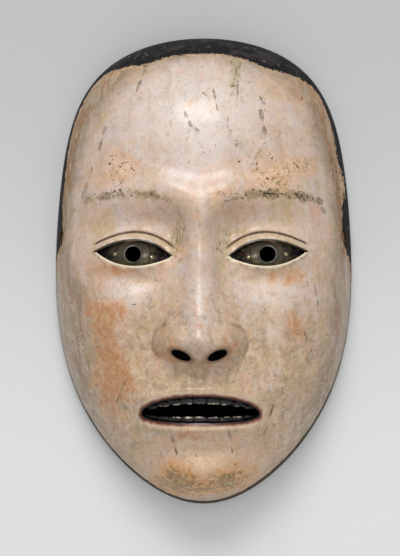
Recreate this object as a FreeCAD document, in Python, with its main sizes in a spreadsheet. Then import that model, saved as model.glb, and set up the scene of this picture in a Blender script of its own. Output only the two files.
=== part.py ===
"""A carved noh mask: a hollowed cypress shell under a ground-shell coat, with sheet-metal eyes,
metal pupil rings, blackened tooth rows and a cord hole at each temple.

Frame: millimetres. The mask lies on its rim, face up. +Z points out of the face, +Y to the crown and
+X to the viewer's right. The origin is the middle of the rim's outline, on the plane the rim rests on.
Left and right are the viewer's.
"""
import FreeCAD, Part

import math
import os
from types import SimpleNamespace

import Sketcher

Vector = FreeCAD.Vector

# ---------------------------------------------------------------------------------------------
# Driving sizes, in millimetres unless the note says otherwise
# ---------------------------------------------------------------------------------------------
SIZES = [
    # the carved shell
    ("mask_height", 206.0, "chin to crown across the rim"),
    ("mask_width", 131.0, "across the rim at its widest"),
    ("dome_depth", 47.0, "face plane above the rim"),
    ("rim_slope", 80.0, "degrees the wall leans from the face plane at the rim"),
    ("hairline_drop", 8.0, "forehead hairline below the crown's edge"),
    ("wall_thickness", 7.5, "wood between the face and the hollow"),
    ("coat_thickness", 0.9, "ground and paint over the wood"),
    ("coat_lift", 0.8, "bare wood left between the coat and the rim"),
    ("glue_line", 0.1, "gap between bonded layers"),
    ("fit_gap", 0.15, "clearance round inlaid pieces"),
    # black hair band
    ("band_rise", 17.0, "band's height above the rim"),
    ("band_end", 7.0, "where the band stops, above the middle"),
    # eyes
    ("eye_spacing", 57.0, "pupil to pupil"),
    ("eye_length", 33.0, "corner to corner"),
    ("upper_lid", 5.9, "pupil line to the upper lid's edge"),
    ("lower_lid", 5.0, "pupil line to the lower lid's edge"),
    ("lid_thickness", 2.2, "lids over the eye plate"),
    ("plate_thickness", 0.8, "sheet metal of the eye plate"),
    ("plate_margin", 1.4, "eye plate tucked under the lids"),
    ("pupil_radius", 3.3, "sight hole through the ring"),
    ("ring_wall", 0.7, "wall of the pupil ring"),
    ("ring_length", 5.0, "pupil ring behind the plate's face"),
    ("flange_width", 0.6, "flange beyond the ring's wall"),
    ("flange_height", 0.5, "flange over the plate"),
    ("sight_radius", 6.2, "bore cut away behind the pupil ring"),
    ("pin_radius", 0.5, "shank of the eye pins"),
    ("pin_head_radius", 0.95, "head of the eye pins"),
    ("pin_head_height", 0.4, "head of the eye pins"),
    ("pin_length", 3.0, "shank of the eye pins"),
    ("pin_spacing", 18.0, "between the two pins of one eye"),
    # nose
    ("nose_height", 17.0, "tip above the face plane"),
    ("bridge_height", 5.2, "bridge above the face plane"),
    ("nose_width", 36.0, "across the wings"),
    ("nostril_length", 8.4, "long way across a nostril"),
    ("nostril_width", 3.8, "short way across a nostril"),
    ("nostril_spacing", 15.2, "middle to middle"),
    # mouth
    ("mouth_width", 50.0, "corner to corner of the opening"),
    ("mouth_rise", 5.8, "opening above the mouth line"),
    ("mouth_drop", 5.2, "opening below the mouth line"),
    ("mouth_bow", 1.6, "droop of the corners"),
    ("tooth_gap", 5.4, "between the upper and lower teeth"),
    ("tooth_setback", 3.0, "tooth faces behind the muzzle"),
    ("tooth_thickness", 3.2, "tooth rows, front to back"),
    ("tooth_pitch", 5.2, "from one tooth to the next"),
    ("tooth_groove", 0.45, "radius of the grooves between teeth"),
    # cord holes
    ("cord_hole_radius", 2.3, "hole for the head cord"),
    ("cord_hole_rise", 12.0, "cord hole above the rim"),
    ("cord_hole_level", 15.0, "cord hole above the middle"),
]

doc = FreeCAD.newDocument("noh_mask")
sheet = doc.addObject("Spreadsheet::Sheet", "Sizes")
for row, (alias, value, note) in enumerate(SIZES, start=1):
    sheet.set(f"A{row}", note)
    sheet.set(f"B{row}", str(value))
    sheet.setAlias(f"B{row}", alias)
doc.recompute()
size = SimpleNamespace(**{alias: float(sheet.get(alias)) for alias, _, _ in SIZES})

half_height = size.mask_height / 2
half_width = size.mask_width / 2
half_mouth = size.mouth_width / 2
rim_angle = math.radians(size.rim_slope)
eye_x = size.eye_spacing / 2
eye_half = size.eye_length / 2

# Classic canon: hairline to brow, brow to nose base and nose base to chin are equal thirds,
# and a third of each third sets the eyes, the mouth and the groove over the chin.
third = (2 * half_height - size.hairline_drop) / 3
brow_level = half_height - size.hairline_drop - third
nose_level = brow_level - third
eye_level = brow_level - third / 3
mouth_level = nose_level - third / 3
groove_level = mouth_level - third / 3

EYE_TILT = math.radians(4)       # outer corners a little higher
SIDES = {"left": -1, "right": 1}


# ---------------------------------------------------------------------------------------------
# The carved face, as a height over the rim plane
# ---------------------------------------------------------------------------------------------
END_FULLNESS = 0.18     # fills the outline out at crown and chin
CROWN_FULLNESS = 0.29   # broad crown, narrow chin
OUTLINE_STEPS = 720
RIM_FADE = 0.30         # share of the dome's height over which the features die out at the rim


def smooth(share):
    share = min(max(share, 0.0), 1.0)
    return share * share * (3 - 2 * share)


def bump(x, y, centre_x, centre_y, spread_x, spread_y, turn=0.0, power=2.0):
    """A rounded mound of height 1, steeper-sided for a higher power."""
    dx, dy = x - centre_x, y - centre_y
    if turn:
        c, s = math.cos(turn), math.sin(turn)
        dx, dy = dx * c + dy * s, dy * c - dx * s
    return math.exp(-math.hypot(dx / spread_x, dy / spread_y) ** power)


def outline_factor(level):
    return 1 + END_FULLNESS * level ** 2 + CROWN_FULLNESS * level ** 3


outline_angles = [2 * math.pi * i / OUTLINE_STEPS for i in range(OUTLINE_STEPS)]
widest = max(math.cos(a) * outline_factor(math.sin(a)) for a in outline_angles)


def plan_point(p, q):
    """Place (p, q) in a disc of radius 1, whose edge is the rim, to plan millimetres."""
    return half_width * p * outline_factor(q) / widest, half_height * q


def dome(x, y):
    """Height of the plain dome, and its share of the full height, which is 0 at the rim."""
    q = y / half_height
    p = x * widest / (half_width * outline_factor(q))
    sine_x, sine_y = p * math.sin(rim_angle), q * math.sin(rim_angle)
    cosine = math.sqrt(max(1 - sine_x ** 2 - sine_y ** 2, 0.0))
    share = (cosine - math.cos(rim_angle)) / (1 - math.cos(rim_angle))
    squareness = 1 + 0.30 * sine_x ** 2 + 0.62 * sine_y ** 2 - 0.06 * sine_y
    return size.dome_depth * share * squareness, share


def eye_local(x, y):
    """Place along and across the eye, from its pupil. The first grows to the outer corner."""
    dx, dy = abs(x) - eye_x, y - eye_level
    c, s = math.cos(EYE_TILT), math.sin(EYE_TILT)
    return dx * c + dy * s, dy * c - dx * s


def nose_relief(x, y):
    side = abs(x)
    root, tip = eye_level + 11, nose_level + 8.5
    along = min(max((root - y) / (root - tip), 0.0), 1.0)
    height = size.bridge_height + (size.nose_height - size.bridge_height) * along ** 1.4
    spread = 7.2 + 2.6 * along ** 2
    if y > root:
        height = size.bridge_height * (1 - smooth((y - root) / 26))
        spread = 7.2 + 8 * smooth((y - root) / 22)
    if y < tip:
        base = nose_level - 2.5 + 0.055 * side ** 1.5
        below = min(max((tip - y) / (tip - base), 0.0), 1.0)
        height *= math.sqrt(1 - below ** 2.2)
    ridge = math.exp(-(side / spread) ** 2.2)
    ball = 2.4 * bump(x, y, 0, tip + 0.8, 8.0, 7.4, power=2.6)
    wing = 8.6 * bump(side, y, size.nose_width * 0.32, nose_level + 7.2, 6.4, 7.0, turn=0.25, power=3.0)
    flank = 3.6 * bump(side, y, 8.0, nose_level + 17, 7.5, 15)
    return height * ridge + ball + wing * (1 - 0.35 * ridge) + flank * (1 - ridge)


def muzzle_relief(x, y):
    return 5.0 * bump(x, y, 0, mouth_level + 1, half_mouth + 1, 17, power=2.6)


def mouth_inside(x, y):
    """Millimetres inside the mouth opening's edge, negative outside it."""
    side = abs(x)
    dy = y - mouth_level + size.mouth_bow * (side / half_mouth) ** 2
    reach = size.mouth_rise if dy > 0 else size.mouth_drop
    along = (side / half_mouth) ** MOUTH_POWER
    total = along + (dy / reach) ** 2 + 1e-9
    slope = math.hypot(MOUTH_POWER * along / (side + 1e-6), 2 * abs(dy) / reach ** 2) + 1e-9
    return 2 * (math.sqrt(total) - total) / slope


def relief(x, y):
    """Everything that stands out from, or is cut into, the plain dome."""
    side = abs(x)
    along, across = eye_local(x, y)
    height = 2.0 * bump(x, y, 0, brow_level + 34, 34, 26)
    # brow arches and the space between them
    arch = brow_level + 2.5 + 3.0 * (1 - ((side - 27) / 26) ** 2)
    brow = 3.2 * math.exp(-((y - arch) / 7.5) ** 2)
    height += brow * smooth((62 - side) / 22) * smooth((side + 6) / 20)
    height += 1.2 * bump(x, y, 0, brow_level, 9, 9)
    # sockets, and the lids over the eyeball
    height -= 5.6 * bump(side, y, 24, eye_level + 9.5, 19, 8.5, turn=-0.05)
    height -= 4.2 * bump(side, y, 12.5, eye_level + 5, 6.5, 11)
    height -= 2.0 * bump(side, y, 27, eye_level - 10, 18, 6)
    height += 5.2 * bump(along, across, 0, 0.5, eye_half - 1, 8.4, power=2.6)
    # cheekbones, cheeks and temples
    height += 4.2 * bump(side, y, 39, eye_level - 24, 17, 17)
    height += 1.5 * bump(side, y, 30, mouth_level + 6, 14, 18)
    height -= 1.6 * bump(side, y, 54, brow_level + 8, 10, 22)
    # nose, lips, mouth corners, groove and chin
    height += nose_relief(x, y) + muzzle_relief(x, y)
    outside = max(-mouth_inside(x, y), 0.0)
    lip = 1.7 * math.exp(-((outside - 3.2) / 2.6) ** 2)
    height += lip * smooth((half_mouth + 4 - side) / 6)
    height -= 1.6 * bump(side, y, half_mouth + 3.5, mouth_level - 1.5, 4.0, 5.0)
    height -= 3.2 * bump(x, y, 0, groove_level + 4.5, 17, 4.2)
    height += 5.2 * bump(x, y, 0, groove_level - 9.5, 17, 10, power=2.4)
    return height


def face_height(x, y):
    base, share = dome(x, y)
    return base + relief(x, y) * smooth(share / RIM_FADE)


def hollow_height(x, y):
    """The dome that the hollow follows: raised behind nose and mouth, held back at the sockets."""
    base, share = dome(x, y)
    raised = 7.0 * bump(x, y, 0, nose_level + 12, 10, 22)
    raised += 3.0 * bump(x, y, 0, mouth_level, 24, 16)
    raised -= 3.6 * bump(abs(x), y, 16, eye_level + 6, 15, 14)
    return base + raised * smooth(share / RIM_FADE)


def muzzle_height(x, y):
    base, _ = dome(x, y)
    return base + muzzle_relief(x, y)


# ---------------------------------------------------------------------------------------------
# Solids under a carved surface
# ---------------------------------------------------------------------------------------------
SLOPE_STEP = 0.05
SKIRT = 150.0                     # how far a block reaches below its surface before it is trimmed
BEYOND_RIM = math.radians(5.5)    # the surfaces run on past the rim by this much
GRID_ACROSS, GRID_ALONG = 57, 81
CENTRE_DENSITY = 0.60             # grid spacing at the middle of the face, against even spacing
PATCH_ROWS, PATCH_COLUMNS = 4, 3   # faces that a whole-mask surface is made of
PATCH_PITCH = 2.0


def surface_normal(height, x, y):
    step = SLOPE_STEP
    slope_x = (height(x + step, y) - height(x - step, y)) / (2 * step)
    slope_y = (height(x, y + step) - height(x, y - step)) / (2 * step)
    return Vector(-slope_x, -slope_y, 1).normalize()


def sunk_point(height, x, y, depth):
    """The surface point over (x, y), moved in by depth along the surface's own normal."""
    return Vector(x, y, height(x, y)) - surface_normal(height, x, y) * depth


def spread(index, count):
    """-1 to 1, closer together in the middle."""
    even = 2 * index / (count - 1) - 1
    return CENTRE_DENSITY * even + (1 - CENTRE_DENSITY) * even ** 3


def disc_grid():
    """Plan places over the whole mask and a little beyond its rim."""
    rows = []
    for j in range(GRID_ALONG):
        b = spread(j, GRID_ALONG)
        row = []
        for i in range(GRID_ACROSS):
            a = spread(i, GRID_ACROSS)
            p, q = a * math.sqrt(1 - b * b / 2), b * math.sqrt(1 - a * a / 2)
            radius = math.hypot(p, q)
            if radius > 0:
                angle = radius * (rim_angle + BEYOND_RIM)
                scale = math.sin(angle) / math.sin(rim_angle) / radius
                p, q = p * scale, q * scale
            row.append(plan_point(p, q))
        rows.append(row)
    return rows


def patch_grid(centre_x, centre_y, reach_x, reach_y):
    """Even plan places over a rectangle."""
    across = 2 * math.ceil(reach_x / PATCH_PITCH)
    along = 2 * math.ceil(reach_y / PATCH_PITCH)
    return [
        [
            (centre_x + reach_x * (2 * i / across - 1), centre_y + reach_y * (2 * j / along - 1))
            for i in range(across + 1)
        ]
        for j in range(along + 1)
    ]


def carved_surface(height, places, depth):
    """Smooth surface through the places, sunk by depth."""
    surface = Part.BSplineSurface()
    surface.interpolate([[sunk_point(height, x, y, depth) for x, y in row] for row in places])
    return surface


def patches(surface):
    """The surface's faces, in rows and columns that share their seams."""
    rows, columns = surface.getUKnots(), surface.getVKnots()
    u_seams = [rows[round(i * (len(rows) - 1) / PATCH_ROWS)] for i in range(PATCH_ROWS + 1)]
    v_seams = [columns[round(i * (len(columns) - 1) / PATCH_COLUMNS)] for i in range(PATCH_COLUMNS + 1)]
    faces = []
    for u_low, u_high in zip(u_seams, u_seams[1:]):
        for v_low, v_high in zip(v_seams, v_seams[1:]):
            patch = surface.copy()
            patch.segment(u_low, u_high, v_low, v_high)
            faces.append(patch.toShape())
    return faces


def dome_solid(height, depth, floor):
    """Solid from a level up to the whole-mask surface, sunk by depth."""
    _, pieces = keep_box(low_z=floor).generalFuse(patches(carved_surface(height, disc_places, depth)))
    return min(pieces[0], key=lambda piece: piece.BoundBox.DiagonalLength)


def block_under(height, places, depth):
    """Solid below part of a surface, down through the rim plane."""
    return carved_surface(height, places, depth).toShape().extrude(Vector(0, 0, -SKIRT))


def layer(height, places, front_depth, back_depth):
    """Sheet between two depths under part of a surface."""
    return block_under(height, places, front_depth).cut(block_under(height, places, back_depth))


def keep_box(low_x=-SKIRT, low_y=-SKIRT, low_z=-SKIRT, high_x=SKIRT, high_y=SKIRT, high_z=SKIRT):
    """A box that keeps one side of the mask, wide open on the sides not named."""
    corner = Vector(low_x, low_y, low_z)
    return Part.makeBox(high_x - low_x, high_y - low_y, high_z - low_z, corner)


def upright(face_outline):
    """Prism through the whole mask over a flat closed outline."""
    face = Part.Face(face_outline)
    face.translate(Vector(0, 0, -SKIRT))
    return face.extrude(Vector(0, 0, 2 * SKIRT))


disc_places = disc_grid()


# ---------------------------------------------------------------------------------------------
# Outlines of the eyes, mouth and nostrils
# ---------------------------------------------------------------------------------------------
LID_STEPS = 12
MOUTH_STEPS = 48
MOUTH_POWER = 2.4              # 2 is an ellipse, more fills the corners
UPPER_LEAN, LOWER_LEAN = 0.18, -0.10   # share by which a lid's peak leans to the inner corner
CORNER_GROWTH = 1.6            # pointed corners move out faster than the lids
NOSTRIL_TURN = 24.0            # degrees


def eye_place(along, across):
    """Plan place on the right eye from a place along and across it."""
    c, s = math.cos(EYE_TILT), math.sin(EYE_TILT)
    return eye_x + along * c - across * s, eye_level + along * s + across * c


def almond(grow=0.0):
    """Prism of the right eye's opening, two lid curves meeting at pointed corners."""
    half = eye_half + CORNER_GROWTH * grow
    lids = [(size.upper_lid + grow, UPPER_LEAN), (-size.lower_lid - grow, LOWER_LEAN)]
    edges = []
    for reach, lean in lids:
        shares = [2 * i / LID_STEPS - 1 for i in range(LID_STEPS + 1)]
        places = [eye_place(half * s, reach * (1 - s * s) * (1 - lean * s)) for s in shares]
        curve = Part.BSplineCurve()
        curve.interpolate([Vector(x, y, 0) for x, y in places])
        edges.append(curve.toShape())
    return upright(Part.Wire(edges))


def mouth_prism(shrink=0.0):
    """Prism of the mouth's opening, its corners drooping a little."""
    points = []
    for i in range(MOUTH_STEPS):
        a = 2 * math.pi * i / MOUTH_STEPS
        reach = (size.mouth_rise if math.sin(a) > 0 else size.mouth_drop) - shrink
        share = math.copysign(abs(math.cos(a)) ** (2 / MOUTH_POWER), math.cos(a))
        droop = size.mouth_bow * share ** 2
        points.append(Vector((half_mouth - shrink) * share, mouth_level - droop + reach * math.sin(a), 0))
    curve = Part.BSplineCurve()
    curve.interpolate(points, PeriodicFlag=True)
    return upright(Part.Wire(curve.toShape()))


def nostril():
    """The right nostril's oval channel, from under the nose tip into the hollow."""
    oval = Part.Ellipse(Vector(0, 0, 0), size.nostril_length / 2, size.nostril_width / 2)
    outline = Part.Wire(oval.toShape())
    outline.rotate(Vector(0, 0, 0), Vector(0, 0, 1), NOSTRIL_TURN)
    outline.translate(Vector(size.nostril_spacing / 2, nose_level + size.nostril_width * 0.42, 0))
    return upright(outline)


def mirrored(shape):
    """A right-hand shape on the other side of the face."""
    return shape.mirror(Vector(0, 0, 0), Vector(1, 0, 0))


def on_side(shape, side):
    return shape if side > 0 else mirrored(shape)


# ---------------------------------------------------------------------------------------------
# Document objects
# ---------------------------------------------------------------------------------------------
nodes = []


def add_shape(label, shape):
    """A sub-part whose shape Part's functions make."""
    solids = shape.Solids
    feature = doc.addObject("Part::Feature", label)
    feature.Shape = solids[0] if len(solids) == 1 else Part.makeCompound(solids)
    feature.Placement = FreeCAD.Placement()
    feature.Label = label
    nodes.append(feature)
    return feature


def origin_plane(body, role):
    return next(item for item in body.Origin.OriginFeatures if item.Role == role)


def add_turned(label, profile, placement):
    """A turned sub-part: a closed profile of (radius, height) expressions, revolved about Z."""
    body = doc.addObject("PartDesign::Body", label)
    sketch = body.newObject("Sketcher::SketchObject", f"{label}_profile")
    sketch.AttachmentSupport = (origin_plane(body, "XZ_Plane"), [""])
    sketch.MapMode = "FlatFace"
    guesses = [Vector(1 + math.cos(a), math.sin(a), 0) for a in
               (2 * math.pi * i / len(profile) for i in range(len(profile)))]
    for start, end in zip(guesses, guesses[1:] + guesses[:1]):
        sketch.addGeometry(Part.LineSegment(start, end))
    for i, (radius, height) in enumerate(profile):
        before = (i - 1) % len(profile)
        sketch.addConstraint(Sketcher.Constraint("Coincident", before, 2, i, 1))
        if radius == "axis":
            sketch.addConstraint(Sketcher.Constraint("PointOnObject", i, 1, -2))
        else:
            index = sketch.addConstraint(Sketcher.Constraint("DistanceX", -1, 1, i, 1, guesses[i].x))
            sketch.setExpression(f"Constraints[{index}]", radius)
        index = sketch.addConstraint(Sketcher.Constraint("DistanceY", -1, 1, i, 1, guesses[i].y))
        sketch.setExpression(f"Constraints[{index}]", height)
    turned = body.newObject("PartDesign::Revolution", f"{label}_turned")
    turned.Profile = sketch
    turned.ReferenceAxis = (sketch, ["V_Axis"])
    turned.Angle = 360
    body.Label = label
    body.Placement = placement
    nodes.append(body)
    return body


# ---------------------------------------------------------------------------------------------
# Eye plates: domed sheet metal tucked under the lids, pierced for the ring and two pins
# ---------------------------------------------------------------------------------------------
plate_front = size.lid_thickness
plate_back = size.lid_thickness + size.plate_thickness
ring_radius = size.pupil_radius + size.ring_wall
pupil_front = sunk_point(face_height, eye_x, eye_level, plate_front).z
eye_places = patch_grid(
    eye_x, eye_level,
    eye_half + (CORNER_GROWTH + 2) * size.plate_margin,
    max(size.upper_lid, size.lower_lid) + 4 * size.plate_margin,
)


def upright_cylinder(radius, low, high):
    """Cylinder through the right pupil, straight ahead."""
    return Part.makeCylinder(radius, high - low, Vector(eye_x, eye_level, low))


def along_axis(radius, point, axis, low, high):
    """Cylinder about an axis through a point, from low to high along it."""
    return Part.makeCylinder(radius, high - low, point + axis * low, axis)


pin_seats = []
for along in (-size.pin_spacing / 2, size.pin_spacing / 2):
    x, y = eye_place(along, 0)
    pin_seats.append((sunk_point(face_height, x, y, plate_front), surface_normal(face_height, x, y)))

ring_hole = upright_cylinder(ring_radius + size.fit_gap, 0, SKIRT)
pin_holes = [
    along_axis(size.pin_radius + size.fit_gap, seat, axis, -size.pin_length - size.fit_gap, size.lid_thickness)
    for seat, axis in pin_seats
]
plate = layer(face_height, eye_places, plate_front, plate_back)
plate = plate.common(almond(size.plate_margin)).cut([ring_hole, *pin_holes])
for name, side in SIDES.items():
    add_shape(f"{name}_eye_plate", on_side(plate, side))

# ---------------------------------------------------------------------------------------------
# Pupil rings: sight tubes that face straight ahead, with a flange that follows the domed plate
# ---------------------------------------------------------------------------------------------
ring_back = pupil_front - size.ring_length
tube = upright_cylinder(ring_radius, ring_back, SKIRT)
tube = tube.common(block_under(face_height, eye_places, plate_front - size.flange_height))
flange = layer(face_height, eye_places, plate_front - size.flange_height, plate_front - size.glue_line)
flange = flange.common(upright_cylinder(ring_radius + size.flange_width, 0, SKIRT))
ring = tube.fuse(flange).cut(upright_cylinder(size.pupil_radius, 0, SKIRT))
for name, side in SIDES.items():
    add_shape(f"{name}_pupil_ring", on_side(ring, side))

# ---------------------------------------------------------------------------------------------
# Eye pins: turned nails, square to the plate
# ---------------------------------------------------------------------------------------------
PIN_PROFILE = [
    ("axis", "-Sizes.pin_length"),
    ("Sizes.pin_radius", "-Sizes.pin_length"),
    ("Sizes.pin_radius", "Sizes.glue_line"),
    ("Sizes.pin_head_radius", "Sizes.glue_line"),
    ("Sizes.pin_head_radius", "Sizes.pin_head_height / 2"),
    ("Sizes.pin_radius", "Sizes.pin_head_height"),
    ("axis", "Sizes.pin_head_height"),
]
for name, side in SIDES.items():
    for place, (seat, axis) in zip(("inner", "outer"), pin_seats):
        seat = Vector(side * seat.x, seat.y, seat.z)
        axis = Vector(side * axis.x, axis.y, axis.z)
        turn = FreeCAD.Rotation(Vector(0, 0, 1), axis)
        add_turned(f"{name}_eye_pin_{place}", PIN_PROFILE, FreeCAD.Placement(seat, turn))

# ---------------------------------------------------------------------------------------------
# Tooth rows: strips that follow the muzzle across the mouth's opening
# ---------------------------------------------------------------------------------------------
mouth_places = patch_grid(0, mouth_level, half_mouth + 4, max(size.mouth_rise, size.mouth_drop) + 5)
tooth_back = size.tooth_setback + size.tooth_thickness
tooth_strip = layer(muzzle_height, mouth_places, size.tooth_setback, tooth_back)
tooth_strip = tooth_strip.common(mouth_prism(size.fit_gap))
grooves = []
groove_count = int(half_mouth / size.tooth_pitch)
for i in range(-groove_count, groove_count + 1):
    x = (i + 0.5) * size.tooth_pitch
    if abs(x) < half_mouth - size.tooth_pitch / 2:
        front = sunk_point(muzzle_height, x, mouth_level, size.tooth_setback)
        grooves.append(along_axis(size.tooth_groove, front, Vector(0, 1, 0), -size.mouth_width, size.mouth_width))
tooth_strip = tooth_strip.cut(grooves)
add_shape("upper_teeth", tooth_strip.common(keep_box(low_y=mouth_level + size.tooth_gap / 2)))
add_shape("lower_teeth", tooth_strip.common(keep_box(high_y=mouth_level - size.tooth_gap / 2)))

# ---------------------------------------------------------------------------------------------
# Coat over the wood, and the black band round the crown
# ---------------------------------------------------------------------------------------------
cord_holes = Part.makeCylinder(
    size.cord_hole_radius, size.mask_width,
    Vector(-half_width, size.cord_hole_level, size.cord_hole_rise), Vector(1, 0, 0),
)
through_cuts = [mouth_prism(), nostril(), mirrored(nostril()), cord_holes]
eye_prisms = [almond(), mirrored(almond())]
coat = dome_solid(face_height, 0, size.coat_lift)
coat = coat.cut([dome_solid(face_height, size.coat_thickness, size.coat_lift), *through_cuts, *eye_prisms])
add_shape("face_coat", coat.cut(keep_box(low_y=size.band_end, high_z=size.band_rise)))
add_shape("crown_band", coat.common(keep_box(low_y=size.band_end + size.glue_line, high_z=size.band_rise)))

# ---------------------------------------------------------------------------------------------
# Wooden shell: the block under the coat, hollowed, and cut for the eyes, mouth, nose and cord
# ---------------------------------------------------------------------------------------------
pocket = layer(face_height, eye_places, plate_front - size.fit_gap, plate_back + size.fit_gap)
pocket = pocket.common(almond(size.plate_margin + size.fit_gap))
window = almond().common(keep_box(low_z=0)).cut(block_under(face_height, eye_places, plate_back))
sight_cut = upright_cylinder(size.sight_radius, 0, ring_back)
eye_cuts = [*pocket.Solids, *window.Solids, ring_hole, sight_cut, *pin_holes]

wood = dome_solid(face_height, size.coat_thickness + size.glue_line, 0)
wood = wood.cut(dome_solid(hollow_height, size.wall_thickness, -size.wall_thickness / 4))
wood = wood.cut([*through_cuts, *eye_cuts, *[mirrored(cut) for cut in eye_cuts]])
add_shape("wood_shell", wood)

# ---------------------------------------------------------------------------------------------
# Check and write
# ---------------------------------------------------------------------------------------------
doc.recompute()
for item in doc.Objects:
    if "Invalid" in item.State or "Error" in item.State:
        raise RuntimeError(f"{item.Label} failed: {item.State}")
for node in nodes:
    if node.Shape.isNull() or not node.Shape.isValid() or not node.Shape.Solids:
        raise RuntimeError(f"{node.Label} has no valid solid")

os.makedirs("parts", exist_ok=True)
for node in nodes:
    node.Shape.exportStep(f"parts/{node.Label}.step")
    print(f"{node.Label}: {len(node.Shape.Solids)} solid, {node.Shape.Volume:.1f} mm3")
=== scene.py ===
"""A carved and painted noh mask, lying face up on its rim.

Lengths are in millimetres until a mesh is made. +Z points out of the face, +Y to the crown and
+X to the viewer's right, and left and right are the viewer's.
"""

import math

import bmesh
import bpy
import numpy as np
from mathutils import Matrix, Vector


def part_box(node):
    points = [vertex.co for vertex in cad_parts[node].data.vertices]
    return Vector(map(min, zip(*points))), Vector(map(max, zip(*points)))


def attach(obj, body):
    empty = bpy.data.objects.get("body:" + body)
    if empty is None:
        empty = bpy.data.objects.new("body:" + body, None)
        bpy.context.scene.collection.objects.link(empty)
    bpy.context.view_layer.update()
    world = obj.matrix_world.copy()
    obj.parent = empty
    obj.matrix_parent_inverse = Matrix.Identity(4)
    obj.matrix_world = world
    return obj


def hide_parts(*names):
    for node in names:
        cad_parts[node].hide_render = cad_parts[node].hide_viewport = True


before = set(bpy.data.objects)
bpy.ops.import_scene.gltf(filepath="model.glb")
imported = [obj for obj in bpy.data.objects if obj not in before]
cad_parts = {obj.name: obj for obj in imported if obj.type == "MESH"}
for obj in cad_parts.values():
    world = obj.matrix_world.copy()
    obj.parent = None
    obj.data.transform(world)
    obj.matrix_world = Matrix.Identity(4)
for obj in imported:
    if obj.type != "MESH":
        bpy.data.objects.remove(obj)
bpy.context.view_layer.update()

# ---------------------------------------------------------------------------------------------
# Wooden shell. One block of cypress is carved to a face, hollowed from behind with a gouge and
# pierced for the eyes, nostrils, mouth and head cord. Everything else lies in it or on it.
# ---------------------------------------------------------------------------------------------
MM = 0.001
RIM_SLOPE = math.radians(80)
BEYOND_RIM = math.radians(5.5)
COAT, GLUE, WALL = 0.9, 0.1, 7.5
HAIRLINE_DROP = 8.0
DOME_DEPTH = 47.0
END_FULLNESS, CROWN_FULLNESS = 0.18, 0.29
SIDE_LIFT, END_LIFT, CROWN_DROP = 0.30, 0.62, 0.06
RIM_FADE = 0.30
EYE_HALF, UPPER_LID, LOWER_LID, EYE_TILT = 16.5, 5.9, 5.0, math.radians(4)
UPPER_LEAN, LOWER_LEAN = 0.18, -0.10
CORNER_GROWTH = 1.6
LID_DEPTH, LID_ROUND, PLATE_THICKNESS, PLATE_MARGIN = 2.2, 1.4, 0.8, 1.4
FIT_GAP = 0.15
RING_HOLE, SIGHT_BORE = 4.15, 6.2
NOSE_HEIGHT, BRIDGE_HEIGHT, NOSE_WIDTH = 17.0, 5.2, 36.0
NOSTRIL_X, NOSTRIL_RISE, NOSTRIL_TURN = 7.6, 1.6, math.radians(24)
NOSTRIL_LONG, NOSTRIL_SHORT = 4.2, 1.9
HALF_MOUTH, MOUTH_RISE, MOUTH_DROP, MOUTH_BOW, MOUTH_POWER = 25.0, 5.8, 5.2, 1.6, 2.4
CORD_RADIUS, CORD_LEVEL, CORD_RISE = 2.3, 15.0, 12.0
GOUGE_WIDTH, GOUGE_LENGTH, GOUGE_DEPTH = 8.0, 18.0, 0.8
ARC_ACROSS, ARC_ALONG = 52, 80
GRID_EVENNESS = 0.60
EYE_POINTS, CORNER_CROWDING = 144, 0.42
INWARD = (1, 0.75, 0.5, 0.25, 0)


def node_box(node):
    """Lowest and highest corner of a solid."""
    low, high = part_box(node)
    return np.array(low) / MM, np.array(high) / MM


_, wood_high = node_box("wood_shell")
half_width = wood_high[0] + (COAT + GLUE) / math.sin(RIM_SLOPE)
half_height = wood_high[1] + (COAT + GLUE) / math.sin(RIM_SLOPE)
ring_low, ring_high = node_box("right_pupil_ring")
eye_x, eye_level, _ = (ring_low + ring_high) / 2
third = (2 * half_height - HAIRLINE_DROP) / 3
brow_level = half_height - HAIRLINE_DROP - third
nose_level = brow_level - third
mouth_level = nose_level - third / 3
groove_level = mouth_level - third / 3
MOUTH = (0, mouth_level)
NOSTRILS = [(side * NOSTRIL_X, nose_level + NOSTRIL_RISE) for side in (-1, 1)]
PUPILS = [(side * eye_x, eye_level) for side in (-1, 1)]
CORD_HOLES = [(side * half_width, CORD_LEVEL, CORD_RISE) for side in (-1, 1)]


def smooth(share):
    share = np.clip(share, 0, 1)
    return share * share * (3 - 2 * share)


def near(value, middle, width):
    """1 where a value meets its middle, fading away on both sides."""
    return np.exp(-((value - middle) / width) ** 2)


def turned(dx, dy, angle):
    """A step as seen along axes that are turned by an angle."""
    c, s = math.cos(angle), math.sin(angle)
    return dx * c + dy * s, dy * c - dx * s


def bump(x, y, centre_x, centre_y, spread_x, spread_y, turn=0.0, power=2.0):
    """A rounded mound of height 1, steeper-sided for a higher power."""
    dx, dy = turned(x - centre_x, y - centre_y, turn)
    return np.exp(-np.hypot(dx / spread_x, dy / spread_y) ** power)


def bumps(x, y, rows):
    """Mounds added up. Each row holds a height, a centre, two spreads and perhaps a turn and power."""
    return sum(height * bump(x, y, *place) for height, *place in rows)


def outline_factor(level):
    return 1 + END_FULLNESS * level ** 2 + CROWN_FULLNESS * level ** 3


around = np.linspace(0, 2 * np.pi, 721)
widest = (np.cos(around) * outline_factor(np.sin(around))).max()


def disc_place(x, y):
    """Sines of the lean from the face plane, across and along."""
    q = y / half_height
    p = x * widest / (half_width * outline_factor(q))
    return p * math.sin(RIM_SLOPE), q * math.sin(RIM_SLOPE)


def dome(x, y):
    """Height of the plain dome, and its share of the full height, which is 0 at the rim."""
    sine_x, sine_y = disc_place(x, y)
    cosine = np.sqrt(np.maximum(1 - sine_x ** 2 - sine_y ** 2, 0))
    share = (cosine - math.cos(RIM_SLOPE)) / (1 - math.cos(RIM_SLOPE))
    fullness = 1 + SIDE_LIFT * sine_x ** 2 + END_LIFT * sine_y ** 2 - CROWN_DROP * sine_y
    return DOME_DEPTH * share * fullness, share


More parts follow.
